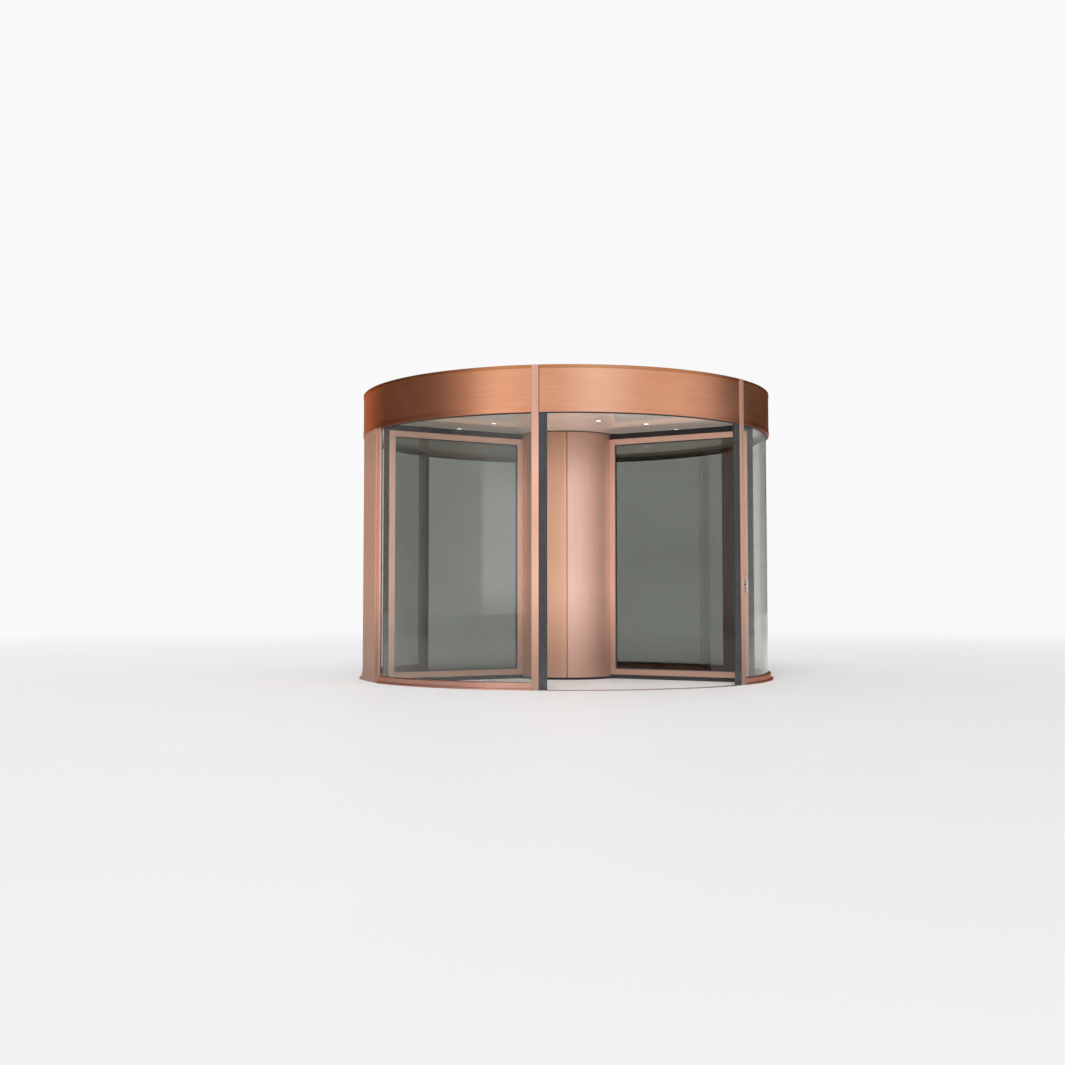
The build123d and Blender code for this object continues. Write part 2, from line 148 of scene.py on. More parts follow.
@dataclass(frozen=True)
class Shape:
    """A surface held as whole arrays.

    The grain map is a pair of metric coordinates at each face corner: the first runs along
    the path that the shape was made on, the second round its outline.
    """

    points: Array
    counts: Array
    corners: Array
    grain: Array

    @classmethod
    def swept(cls, rings: Array, looped: bool = False) -> "Shape":
        """Carries an outline along a path: a quad joins points j and j + 1 of rings i and i + 1.

        Args:
            rings: the outline at each station of the path, (stations, points, 3).
            looped: True if the last ring joins the first, and otherwise both ends are closed.

        Returns:
            The closed surface.
        """
        stations, size = rings.shape[:2]
        spans = stations if looped else stations - 1
        i = np.arange(spans)[:, None]
        j = np.arange(size)[None]
        row = i * size
        next_row = (i + 1) % stations * size
        beside = (j + 1) % size
        quads = np.stack([row + j, row + beside, next_row + beside, next_row + j], -1)
        step = np.linalg.norm(np.roll(rings, -1, 0) - rings, axis=2).max(1)
        along = np.concatenate([[0], np.cumsum(step)])
        side = np.linalg.norm(np.roll(rings[0], -1, 0) - rings[0], axis=1)
        around = np.concatenate([[0], np.cumsum(side)])
        here = np.broadcast_to(along[i], quads.shape[:2])
        there = np.broadcast_to(along[i + 1], quads.shape[:2])
        near = np.broadcast_to(around[j], quads.shape[:2])
        far = np.broadcast_to(around[j + 1], quads.shape[:2])
        grain = np.stack([here, near, here, far, there, far, there, near], -1).reshape(-1, 2)
        counts = np.full(quads.shape[0] * quads.shape[1], 4)
        corners = quads.reshape(-1)
        if not looped:
            lid = np.arange(size)
            ends = np.concatenate([lid[::-1], (stations - 1) * size + lid])
            flat = np.stack([around[ends % size] * 0, around[ends % size]], -1)
            counts = np.concatenate([counts, [size, size]])
            corners = np.concatenate([corners, ends])
            grain = np.concatenate([grain, flat])
        return cls(rings.reshape(-1, 3), counts, corners, grain)

    @classmethod
    def turned(cls, profile: Array, start: float, end: float, step: float = 0.75) -> "Shape":
        """Turns a profile about the axis: its x is the radius and its y the height.

        Args:
            profile: closed outline, (n, 2).
            start: first bearing in degrees.
            end: last bearing in degrees. A full turn closes on itself.
            step: largest angle between stations, in degrees.

        Returns:
            The turned shape, with its grain round the axis.
        """
        full = end - start >= 360
        stations = math.ceil((end - start) / step) + (0 if full else 1)
        bearing = np.linspace(start, end, stations, endpoint=not full)[:, None]
        return cls.swept(polar(profile[None, :, 0], bearing, profile[None, :, 1]), full)

    @classmethod
    def drawn(cls, section: Array, axes: Array, start: Array, end: Array) -> "Shape":
        """Draws a section, its x and y along two axes, straight from one place to another."""
        flat = section @ axes
        return cls.swept(np.stack([flat + start, flat + end]))

    @classmethod
    def upright(cls, section: Array, bearing: float, low: float, high: float) -> "Shape":
        """Draws a plan section up from low to high: its x is across the bearing, its y the radius."""
        return cls.drawn(section, directions(bearing)[:2], UP * low, UP * high)

    @classmethod
    def outward(cls, section: Array, bearing: float, near: float, far: float) -> "Shape":
        """Draws a section out from one radius to another: its x is across, its y the height."""
        across, away, up = directions(bearing)
        return cls.drawn(section, np.array([across, up]), away * near, away * far)

    @classmethod
    def mitred(cls, profile: Array, bearing: float, reach: Sequence[float], span: Sequence[float]) -> "Shape":
        """Carries a profile round an upright rectangle in a wing's plane, with mitred corners.

        At each corner the profile's x moves the point inwards along the radius and along the
        height alike, and its y is the distance across the wing.

        Args:
            profile: closed outline, (n, 2).
            bearing: the wing's bearing in degrees.
            reach: the rectangle's least and greatest radius.
            span: its least and greatest height.

        Returns:
            The closed ring.
        """
        sign = np.array([(1, 1), (-1, 1), (-1, -1), (1, -1)])[:, None]
        base = np.array([(reach[int(s < 0)], span[int(t < 0)]) for s, t in sign[:, 0]])[:, None]
        place = base + sign * profile[None, :, :1]
        across, away, up = directions(bearing)
        rings = profile[None, :, 1:] * across + place[..., :1] * away + place[..., 1:] * up
        return cls.swept(rings, True)

    @classmethod
    def spun(cls, profile: Array, sides: int = 32) -> "Shape":
        """Turns an open profile, from pole to pole, about Z: x is the radius, y the height.

        Args:
            profile: points from the one pole to the other, whose first and last radius are 0.
            sides: stations round the turn.

        Returns:
            The closed shape at the origin, with one fan of triangles at each pole.
        """
        body = profile[1:-1]
        turn = np.linspace(90, 450, sides, endpoint=False)[:, None]
        rings = polar(body[:, 0], turn, body[:, 1])
        size = len(body)
        row = np.arange(sides)[:, None] * size
        next_row = np.roll(row, -1)
        j = np.arange(size - 1)[None]
        quads = np.stack([row + j, next_row + j, next_row + j + 1, row + j + 1], -1)
        foot = sides * size
        rim = np.arange(sides)
        after = (rim + 1) % sides
        first = np.stack([np.full(sides, foot), after * size, rim * size], -1)
        last = np.stack([np.full(sides, foot + 1), rim * size + size - 1, after * size + size - 1], -1)
        poles = np.array([[0, 0, profile[0, 1]], [0, 0, profile[-1, 1]]])
        points = np.concatenate([rings.reshape(-1, 3), poles])
        corners = np.concatenate([quads.reshape(-1), first.reshape(-1), last.reshape(-1)])
        counts = np.concatenate([np.full(quads.size // 4, 4), np.full(2 * sides, 3)])
        return cls(points, counts, corners, points[corners][:, :2])

    @classmethod
    def joined(cls, shapes: Iterable["Shape"]) -> "Shape":
        """Joins shapes, each corner index raised by the points before it.

        Args:
            shapes: the shapes.

        Returns:
            All of them as one.
        """
        parts = list(shapes)
        before = np.cumsum([0] + [len(part.points) for part in parts[:-1]])
        return cls(
            np.concatenate([part.points for part in parts]),
            np.concatenate([part.counts for part in parts]),
            np.concatenate([part.corners + start for part, start in zip(parts, before)]),
            np.concatenate([part.grain for part in parts]),
        )

    def copied(self, axes: Array, places: Array) -> "Shape":
        """Copies of the shape: each point goes to its place plus the axes times the point.

        Args:
            axes: each copy's own x, y and z directions, (n, 3, 3), one direction a row.
            places: each copy's origin, (n, 3).

        Returns:
            All the copies as one shape.
        """
        points = np.einsum("pk,nkx->npx", self.points, axes) + places[:, None]
        count = len(places)
        shift = np.arange(count)[:, None] * len(self.points)
        return Shape(
            points.reshape(-1, 3),
            np.tile(self.counts, count),
            (self.corners[None] + shift).reshape(-1),
            np.tile(self.grain, (count, 1)),
        )

    def mesh(self, name: str) -> bpy.types.Mesh:
        """The shape as a smooth mesh with its normals outwards.

        Args:
            name: the mesh's name.

        Returns:
            The mesh, with the grain as its UV map and each edge sharp that turns past the limit.
        """
        mesh = bpy.data.meshes.new(name)
        mesh.vertices.add(len(self.points))
        mesh.vertices.foreach_set("co", self.points.astype(np.float32).ravel())
        mesh.loops.add(len(self.corners))
        mesh.polygons.add(len(self.counts))
        starts = np.concatenate([[0], np.cumsum(self.counts)[:-1]])
        mesh.polygons.foreach_set("loop_start", starts.astype(np.int32))
        mesh.polygons.foreach_set("vertices", self.corners.astype(np.int32))
        mesh.update(calc_edges=True)
        layer = mesh.uv_layers.new(name=GRAIN_MAP)
        layer.uv.foreach_set("vector", self.grain.astype(np.float32).ravel())
        work = bmesh.new()
        work.from_mesh(mesh)
        bmesh.ops.recalc_face_normals(work, faces=work.faces)
        work.to_mesh(mesh)
        work.free()
        mesh.shade_smooth()
        mesh.set_sharp_from_angle(angle=SHARP)
        return mesh


class Value:
    """A number in a material; arithmetic on it adds Math nodes."""

    def __init__(self, sheet: "NodeSheet", socket: Any) -> None:
        """Wraps an output socket of a sheet's node."""
        self.sheet = sheet
        self.socket = socket

    def math(self, operation: str, *others: Any, swapped: bool = False) -> "Value":
        """Adds a Math node.

        Args:
            operation: the node's operation.
            others: what it takes after this value.
            swapped: whether it takes them all in reverse order.

        Returns:
            Its result.
        """
        terms = [self, *others]
        terms = terms[::-1] if swapped else terms
        return self.sheet.node("ShaderNodeMath", {"operation": operation}, dict(enumerate(terms)))

    def __add__(self, other: Any) -> "Value":
        """Sum."""
        return self.math("ADD", other)

    def __sub__(self, other: Any) -> "Value":
        """Difference."""
        return self.math("SUBTRACT", other)

    def __mul__(self, other: Any) -> "Value":
        """Product."""
        return self.math("MULTIPLY", other)

    def __rsub__(self, other: Any) -> "Value":
        """Difference from a number."""
        return self.math("SUBTRACT", other, swapped=True)

    __radd__ = __add__

    def larger(self, other: Any) -> "Value":
        """The larger of the two."""
        return self.math("MAXIMUM", other)

    def rise(self, low: float, high: float) -> "Value":
        """A smooth rise from 0 at low to 1 at high."""
        values = {"Value": self, "From Min": low, "From Max": high}
        return self.sheet.node("ShaderNodeMapRange", {"interpolation_type": "SMOOTHSTEP"}, values)


class NodeSheet:
    """A node tree that is written as expressions."""

    def __init__(self, tree: bpy.types.NodeTree) -> None:
        """Clears the tree."""
        self.tree = tree
        tree.nodes.clear()

    def node(self, kind: str, settings: dict[str, Any], values: dict[Any, Any], out: Any = 0) -> Value:
        """Adds a node.

        Args:
            kind: the node's type.
            settings: its properties, set first.
            values: numbers, colours or links of its inputs, by name or number.
            out: the output to return, by name or number.

        Returns:
            The chosen output.
        """
        made = self.tree.nodes.new(kind)
        for key, setting in settings.items():
            setattr(made, key, setting)
        for key, value in values.items():
            socket = made.inputs[key]
            if isinstance(value, Value):
                self.tree.links.new(value.socket, socket)
            elif isinstance(value, tuple) and len(value) == 3 and socket.type == "RGBA":
                socket.default_value = (*value, 1)
            else:
                socket.default_value = value
        return Value(self, made.outputs[out]) if made.outputs else Value(self, None)

    def blend(self, share: Any, first: Any, second: Any) -> Value:
        """A colour between two others."""
        return self.node("ShaderNodeMix", {"data_type": "RGBA"}, {0: share, 6: first, 7: second}, 2)

    def vector(self, operation: str, *terms: Any, out: Any = 0) -> Value:
        """One Vector Math node on the terms."""
        return self.node("ShaderNodeVectorMath", {"operation": operation}, dict(enumerate(terms)), out)

    def relief(self, height: Value, strength: float, depth: float) -> Value:
        """A normal bent by a height from 0 to 1, which stands for a depth in metres."""
        return self.node("ShaderNodeBump", {}, {"Strength": strength, "Distance": depth, "Height": height})

    def ray(self, kind: str) -> Value:
        """1 for rays of one kind, such as Glossy or Camera, and otherwise 0."""
        return self.node("ShaderNodeLightPath", {}, {}, f"Is {kind} Ray")

    def noise(self, place: Value, scale: float, detail: float = 3.0, stretch: Any = None) -> Value:
        """Adds a noise texture.

        Args:
            place: its coordinates.
            scale: how many features there are to a metre.
            detail: how many finer layers it has.
            stretch: three factors that the coordinates are multiplied by first, if any.

        Returns:
            Noise from 0 to 1.
        """
        if stretch is not None:
            place = self.node("ShaderNodeMapping", {}, {"Vector": place, "Scale": stretch})
        return self.node("ShaderNodeTexNoise", {}, {"Vector": place, "Scale": scale, "Detail": detail})

    def object_place(self) -> Value:
        """Place in the part's own frame, in metres."""
        return self.node("ShaderNodeTexCoord", {}, {}, "Object")

    def grain_place(self) -> Value:
        """Place on the piece's own grain map, in metres."""
        return self.node("ShaderNodeUVMap", {"uv_map": GRAIN_MAP}, {})

    def height(self) -> Value:
        """Height above the floor, in metres."""
        return self.node("ShaderNodeSeparateXYZ", {}, {0: self.object_place()}, 2)


class Grain(Enum):
    """What a finish takes its direction from."""

    MAP = "the piece's own grain map"
    LEVEL = "the X axis of the part's frame"


@dataclass(frozen=True)
class Finish:
    """A surface finish. Each kind below writes its own nodes."""

    name: str
    colour: Colour

    def write(self, sheet: NodeSheet) -> dict[Any, Any]:
        """The shader's varying inputs.

        Args:
            sheet: the material's nodes.

        Returns:
            Input names of the Principled shader with their values or links.
        """
        return {"Base Color": self.colour}

    def constants(self) -> dict[str, Any]:
        """The shader's inputs that are the same all over."""
        return {}

    def material(self) -> bpy.types.Material:
        """Makes the finish's material once.

        Returns:
            The material.
        """
        if self.name in bpy.data.materials:
            return bpy.data.materials[self.name]
        made = bpy.data.materials.new(self.name)
        made.use_nodes = True
        sheet = NodeSheet(made.node_tree)
        inputs = {**self.constants(), **self.write(sheet)}
        shader = sheet.node("ShaderNodeBsdfPrincipled", {}, inputs)
        self.end(sheet, shader)
        return made

    def end(self, sheet: NodeSheet, shader: Value) -> None:
        """Links the shader to the output."""
        sheet.node("ShaderNodeOutputMaterial", {}, {"Surface": shader})


@dataclass(frozen=True)
class BrushedMetal(Finish):
    """Metal with fine scratches along its grain, broad faint bands and a cloudy patina.

    fine and broad are how many scratches and bands there are to a metre, along the grain
    and across it. foot and head are how strongly painted shade darkens the metal within a
    metre of the floor and under the ceiling: it stands for a dim floor mirrored low down and
    for the canopy's shadow, not for wear.
    """

    deep: Colour = (0.5, 0.3, 0.2)
    roughness: float = 0.34
    scratch: float = 0.10
    streaks: float = 0.30
    patina: float = 0.35
    metallic: float = 1.0
    edge: Colour = (1.0, 1.0, 1.0)
    grain: Grain = Grain.MAP
    dusty: bool = True
    foot: float = 0.0
    head: float = 0.0
    # Painted shade: the brown tone that foot and head darken the colour towards.
    painted_shade: Colour = (0.30, 0.165, 0.115)
    dust: Colour = (0.42, 0.36, 0.32)
    fine: Colour = (5.0, 1400.0, 1400.0)
    broad: Colour = (1.1, 42.0, 42.0)

    def constants(self) -> dict[str, Any]:
        """How metallic it is, with a satin lacquer taking it below 1, and its colour edge on."""
        return {"Metallic": self.metallic, "Specular Tint": (*self.edge, 1.0)}

    def place(self, sheet: NodeSheet) -> Value:
        """Coordinates whose x runs along the grain."""
        return sheet.grain_place() if self.grain is Grain.MAP else sheet.object_place()

    def write(self, sheet: NodeSheet) -> dict[Any, Any]:
        """Colour, roughness and normal follow the scratches, the bands and the patina.

        The tone is a weighted sum of the three, moved so that it stays about a half.

        Args:
            sheet: the material's nodes.

        Returns:
            The shader's varying inputs.
        """
        place = self.place(sheet)
        scratches = sheet.noise(place, 1.0, 4.0, self.fine)
        bands = sheet.noise(place, 1.0, 2.0, self.broad)
        clouds = sheet.noise(sheet.object_place(), 2.3, 5.0)
        level = (1 - 2 * self.streaks - self.patina) / 2
        tone = scratches * self.streaks + bands * self.streaks + clouds * self.patina + level
        colour = sheet.blend(tone.rise(0.25, 0.75), self.deep, self.colour)
        rough = self.roughness + (scratches - 0.5) * self.scratch + (clouds - 0.5) * 0.10
        # Painted shade: darker within a metre of the floor (foot) and from 1.9 m up (head), towards the shade
        # tone with a little cloudiness.
        if self.foot or self.head:
            height = sheet.height()
            painted_shade_share = (1 - height.rise(0.0, 1.0)) * self.foot + height.rise(1.9, 2.5) * self.head
            colour = sheet.blend(painted_shade_share * (clouds * 0.4 + 0.8), colour, self.painted_shade)
        if self.dusty:
            dust = (1 - sheet.height().rise(0.0, 0.16)) * clouds.rise(0.25, 0.8)
            colour = sheet.blend(dust * 0.35, colour, self.dust)
            rough = rough + dust * 0.20
        relief = sheet.relief(scratches, 0.12, 0.0003)
        return {"Base Color": colour, "Roughness": rough, "Normal": relief}


@dataclass(frozen=True)
class PolishedSheet(Finish):
    """Nearly mirror-bright sheet with a faint haze and rolling marks."""

    deep: Colour = (0.5, 0.4, 0.35)
    roughness: float = 0.075
    metallic: float = 0.15

    def constants(self) -> dict[str, Any]:
        """How metallic it is: a lacquer hides most of the metal."""
        return {"Metallic": self.metallic}

    def write(self, sheet: NodeSheet) -> dict[Any, Any]:
        """Haze changes the roughness, and long waves bend the surface a little.

        Args:
            sheet: the material's nodes.

        Returns:
            The shader's varying inputs.
        """
        place = sheet.object_place()
        haze = sheet.noise(place, 3.0, 5.0)
        marks = sheet.noise(place, 1.0, 2.0, (160.0, 3.0, 1.0))
        colour = sheet.blend(haze.rise(0.3, 0.7), self.deep, self.colour)
        wave = sheet.noise(place, 1.6, 1.0)
        relief = sheet.relief(wave, 0.2, 0.0012)
        rough = self.roughness + (marks + haze - 1.0) * 0.08
        return {"Base Color": colour, "Roughness": rough, "Normal": relief}


@dataclass(frozen=True)
class ClearGlass(Finish):
    """Clear float glass with a faint film of dust near the floor."""

    deep: Colour = (0.5, 0.55, 0.53)

    def constants(self) -> dict[str, Any]:
        """Glass that bends light as float glass does."""
        return {"Transmission Weight": 1.0, "IOR": 1.48}

    def write(self, sheet: NodeSheet) -> dict[Any, Any]:
        """The tint varies a little over the pane, and the film is thickest at the foot.

        Args:
            sheet: the material's nodes.

        Returns:
            The shader's varying inputs.
        """
        smears = sheet.noise(sheet.object_place(), 1.3, 4.0)
        film = (1 - sheet.height().rise(0.05, 0.55)) * smears.rise(0.35, 0.75)
        tint = sheet.blend(smears.rise(0.3, 0.7), self.deep, self.colour)
        return {"Base Color": tint, "Roughness": film * 0.05}

    def end(self, sheet: NodeSheet, shader: Value) -> None:
        """Rays from the lamps pass straight through, dimmed by the tint.

        Args:
            sheet: the material's nodes.
            shader: the glass.
        """
        through = sheet.node("ShaderNodeBsdfTransparent", {}, {"Color": self.colour})
        mixed = sheet.node("ShaderNodeMixShader", {}, {0: sheet.ray("Shadow"), 1: shader, 2: through})
        super().end(sheet, mixed)


@dataclass(frozen=True)
class Rubber(Finish):
    """Matt black rubber with a bloom and a little dust."""

    roughness: float = 0.55
    bloom: Colour = (0.16, 0.155, 0.15)

    def write(self, sheet: NodeSheet) -> dict[Any, Any]:
        """A fine grain for the relief, and clouds of paler bloom.

        Args:
            sheet: the material's nodes.

        Returns:
            The shader's varying inputs.
        """
        place = sheet.object_place()
        bloom = sheet.noise(place, 9.0, 4.0)
        pores = sheet.noise(place, 900.0, 2.0)
        dust = (1 - sheet.height().rise(0.0, 0.25)) * 0.5 + 0.12
        colour = sheet.blend(bloom.rise(0.35, 0.8) * dust, self.colour, self.bloom)
        rough = self.roughness + (bloom - 0.5) * 0.25
        return {"Base Color": colour, "Roughness": rough, "Normal": sheet.relief(pores, 0.25, 0.0004)}


@dataclass(frozen=True)
class Bristle(Finish):
    """Dense black bristle: fine hairs across the strip, a little paler where they catch light."""

    pale: Colour = (0.09, 0.09, 0.095)
    hairs: Colour = (1500.0, 25.0, 1.0)

    def write(self, sheet: NodeSheet) -> dict[Any, Any]:
        """Hairs are noise drawn out across the strip, on the grain map.

        Args:
            sheet: the material's nodes.

        Returns:
            The shader's varying inputs.
        """
        hairs = sheet.noise(sheet.grain_place(), 1.0, 3.0, self.hairs)
        colour = sheet.blend(hairs.rise(0.45, 0.8), self.colour, self.pale)
        relief = sheet.relief(hairs, 0.6, 0.0008)
        return {"Base Color": colour, "Roughness": 0.5 + hairs * 0.3, "Normal": relief}


@dataclass(frozen=True)
class Lens(Finish):
    """Opal lens that glows evenly, a little darker between its prisms."""

    cell: Colour = (0.80, 0.77, 0.70)
    cells: float = 260.0
    glow: float = 3.2

    def write(self, sheet: NodeSheet) -> dict[Any, Any]:
        """The moulded prisms of the lens are fine cells.

        Args:
            sheet: the material's nodes.

        Returns:
            The shader's varying inputs.
        """
        values = {"Vector": sheet.object_place(), "Scale": self.cells}
        cells = sheet.node("ShaderNodeTexVoronoi", {}, values, "Distance")
        colour = sheet.blend(cells.rise(0.0, 0.7), self.colour, self.cell)
        relief = sheet.relief(cells, 0.3, 0.0006)
        return {"Base Color": colour, "Normal": relief, "Emission Color": colour}

    def constants(self) -> dict[str, Any]:
        """A soft glow and a satin surface."""
        return {"Roughness": 0.3, "Emission Strength": self.glow}


@dataclass(frozen=True)
class Paint(Finish):
    """Painted or coated metal with fine orange peel and settled dust."""

    roughness: float = 0.5
    metallic: float = 0.0

    def constants(self) -> dict[str, Any]:
        """How metallic the coat is."""
        return {"Metallic": self.metallic}

    def write(self, sheet: NodeSheet) -> dict[Any, Any]:
        """Dust lies in broad patches, and the peel is fine.

        Args:
            sheet: the material's nodes.

        Returns:
            The shader's varying inputs.
        """
        place = sheet.object_place()
        peel = sheet.noise(place, 420.0, 2.0)
        patches = sheet.noise(place, 3.1, 5.0)
        dusty = tuple(0.75 * part + 0.10 for part in self.colour)
        colour = sheet.blend(patches.rise(0.35, 0.75) * 0.5, self.colour, dusty)
        rough = self.roughness + (patches - 0.5) * 0.25
        return {"Base Color": colour, "Roughness": rough, "Normal": sheet.relief(peel, 0.15, 0.0004)}


# What copper mirrors where it is seen edge on
COPPER_EDGE = (0.82, 0.42, 0.28)
COPPER = BrushedMetal("copper", (0.82, 0.395, 0.24), deep=(0.68, 0.295, 0.16), edge=COPPER_EDGE)
TOP_TRIM = replace(COPPER, name="copper_top", colour=(0.60, 0.265, 0.12), deep=(0.50, 0.195, 0.085))
TRIM = replace(
    COPPER, name="copper_edge", colour=(0.785, 0.375, 0.23), deep=(0.665, 0.28, 0.157), roughness=0.30
)
# Painted reflection: the rails' copper is a darker, pinker copy of the cladding's, standing for a dark floor
# that the low rails mirror.
RAIL_COPPER = replace(
    COPPER, name="rail_copper", colour=(0.70, 0.37, 0.29), deep=(0.52, 0.26, 0.20), roughness=0.24
)
# Painted light: PALE_COPPER and the copies made from it are lit and shaded copies of the cladding's copper,
# drawn paler and pinker on the column, posts, jambs and wings for the brighter light they show; POST_COPPER
# and JAMB_COPPER are darker copies, WING_COPPER a paler one, and their foot and head settings add painted
# shade. WARM_COPPER also gives one column sheet a warmer tone of its own.
PALE_COPPER = BrushedMetal(
    "pale_copper", (0.90, 0.56, 0.45), deep=(0.78, 0.45, 0.345), roughness=0.42, metallic=0.55,
    foot=0.75, head=0.35,
)
POST_COPPER = replace(
    PALE_COPPER, name="post_copper", colour=(0.81, 0.48, 0.37), deep=(0.67, 0.36, 0.265), foot=0.8
)
JAMB_COPPER = replace(POST_COPPER, name="jamb_copper", colour=(0.70, 0.37, 0.26), deep=(0.58, 0.29, 0.19))
WARM_COPPER = replace(PALE_COPPER, name="warm_copper", colour=(0.88, 0.50, 0.36), deep=(0.76, 0.40, 0.26))
WING_COPPER = replace(
    PALE_COPPER, name="wing_copper", colour=(0.93, 0.60, 0.49), deep=(0.83, 0.50, 0.39), head=0.0
)
CEILING = PolishedSheet("polished_ceiling", (0.97, 0.86, 0.76), deep=(0.91, 0.79, 0.69))
HEADER = replace(CEILING, name="satin_header", colour=(0.93, 0.90, 0.86), roughness=0.34, metallic=0.1)
WALL_GLASS = ClearGlass("curved_glass", (0.76, 0.78, 0.75), deep=(0.71, 0.73, 0.70))
# Painted shade: the wing panes are clear glass like the walls; their dark tint stands for a dark room seen
# through them.
WING_GLASS = ClearGlass("wing_pane", (0.225, 0.235, 0.215), deep=(0.20, 0.21, 0.19))
RUBBER = Rubber("rubber", (0.028, 0.030, 0.034))
BRISTLE = Bristle("bristle", (0.018, 0.018, 0.020))
LENS = Lens("lamp_lens", (0.96, 0.93, 0.86))
RIM = BrushedMetal("lamp_rim", (0.86, 0.82, 0.76), deep=(0.74, 0.70, 0.64), roughness=0.25, dusty=False)
STRIP = BrushedMetal("threshold_strip", (0.60, 0.40, 0.33), deep=(0.42, 0.26, 0.20), roughness=0.42)
SATIN = BrushedMetal("satin_metal", (0.86, 0.85, 0.83), deep=(0.70, 0.69, 0.67), roughness=0.28)
BARREL = BrushedMetal("lock_barrel", (0.20, 0.14, 0.12), deep=(0.10, 0.07, 0.06), grain=Grain.LEVEL)
STEEL = BrushedMetal("turned_steel", (0.62, 0.62, 0.63), deep=(0.42, 0.42, 0.43), grain=Grain.LEVEL)
SCREW = BrushedMetal("screw_steel", (0.62, 0.60, 0.58), deep=(0.45, 0.44, 0.42), dusty=False)
DARK = Paint("plinth_paint", (0.022, 0.020, 0.020), roughness=0.6)
DECK = Paint("deck_paint", (0.40, 0.385, 0.365), roughness=0.45, metallic=0.5)
DRIVE = Paint("drive_paint", (0.16, 0.17, 0.18), roughness=0.4)


def coordinates(node: str) -> Array:
    """Reads a CAD node's points.

    Args:
        node: the node's name.

    Returns:
        Its points in the part's frame, (n, 3).
    """
    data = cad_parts[node].data
    points = np.empty(len(data.vertices) * 3, np.float32)
    data.vertices.foreach_get("co", points)
    return points.reshape(-1, 3).astype(float)


def widest(node: str, low: float, high: float) -> float:
    """Measures how far a CAD node reaches between two heights.

    Args:
        node: the node's name.
        low: the lower height.
        high: the upper height.

    Returns:
        The largest radius of its points there.
    """
    points = coordinates(node)
    kept = points[(points[:, 2] >= low) & (points[:, 2] <= high)]
    return float(np.hypot(kept[:, 0], kept[:, 1]).max())


def gap(node: str) -> tuple[float, float]:
    """Finds the open stretch half way up a CAD node that has an upper and a lower part.

    Args:
        node: the node's name.

    Returns:
        The lower part's highest point and the upper part's lowest.
    """
    heights = coordinates(node)[:, 2]
    middle = (heights.min() + heights.max()) / 2
    return float(heights[heights < middle].max()), float(heights[heights > middle].min())


@dataclass(frozen=True)
class Reach:
    """How far a CAD node reaches: radii about the axis, heights and bearings."""

    inner: float
    outer: float
    low: float
    high: float
    start: float
    end: float

    @classmethod
    def of(cls, node: str, middle: float = 0.0, half: float = 180.0) -> "Reach":
        """Measures a node's points.

        Args:
            node: the CAD node's name.
            middle: the bearing that the part in question lies round.
            half: how far from there its points are counted, in degrees.

        Returns:
            The reach of those points.
        """
        points = coordinates(node)
        bearing = np.degrees(np.arctan2(points[:, 0], -points[:, 1]))
        bearing = (bearing - middle + 180) % 360 - 180 + middle
        kept = np.abs(bearing - middle) <= half
        radius = np.hypot(points[kept, 0], points[kept, 1])
        ends = [(float(part.min()), float(part.max())) for part in (radius, points[kept, 2], bearing[kept])]
        return cls(*ends[0], *ends[1], *ends[2])

    def turned(self, profile: Array) -> Shape:
        """A profile turned about the axis over the reach's bearings."""
        return Shape.turned(profile, self.start, self.end)

    def bar(self, radii: Any, steps: int = 5) -> Shape:
        """The whole reach as a bar with rounded corners."""
        return self.turned(rectangle(self.inner, self.outer, self.low, self.high, radii, steps))


@dataclass(frozen=True)
class Block:
    """How far a CAD node reaches in a bearing's own directions: across it, away and up."""

    bearing: float
    left: float
    right: float
    inner: float
    outer: float
    low: float
    high: float

    @classmethod
    def of(cls, node: str, bearing: float, width: float = 0.2) -> "Block":
        """Measures a node's points near a bearing.

        Args:
            node: the CAD node's name.
            bearing: the bearing.
            width: how far to each side of it points are counted.

        Returns:
            The block of those points.
        """
        points = coordinates(node) @ directions(bearing).T
        near = points[(points[:, 1] > 0) & (np.abs(points[:, 0]) < width)]
        (left, inner, low), (right, outer, high) = near.min(0).tolist(), near.max(0).tolist()
        return cls(bearing, left, right, inner, outer, low, high)

    def prism(self, radii: Any, steps: int = 5) -> Shape:
        """The block as an upright prism with rounded corners."""
        plan = rectangle(self.left, self.right, self.inner, self.outer, radii, steps)
        return Shape.upright(plan, self.bearing, self.low, self.high)


def plan_arc(radius: float, limit: float, points: int) -> Array:
    """An arc in plan about the axis, from an angle in radians to the same on the other side."""
    turn = np.linspace(limit, -limit, points)
    return radius * np.stack([np.sin(turn), np.cos(turn)], -1)


def screws(places: Array, normals: Array, radius: float) -> Shape:
    """Countersunk screw heads with a round socket, a hair proud of the face they sit in.

    Args:
        places: the heads' centres on the face, (n, 3).
        normals: the face's unit normals there, (n, 3), or one for all.
        radius: a head's radius in metres.

    Returns:
        All the heads as one shape.
    """
    rise = 0.12 * radius
    profile = np.array([
        (0, -0.9 * rise), (0.44 * radius, -0.9 * rise), (0.48 * radius, rise), (0.86 * radius, rise),
        (radius, 0.4 * rise), (radius, -2 * rise), (0, -2 * rise),
    ])
    normals = np.broadcast_to(normals, places.shape)
    helper = np.where(np.abs(normals[:, 2:]) > 0.9, [[1.0, 0, 0]], [[0, 0, 1.0]])
    first = np.cross(helper, normals)
    first /= np.linalg.norm(first, axis=1, keepdims=True)
    axes = np.stack([first, np.cross(normals, first), normals], 1)
    return Shape.spun(profile, 18).copied(axes, places)


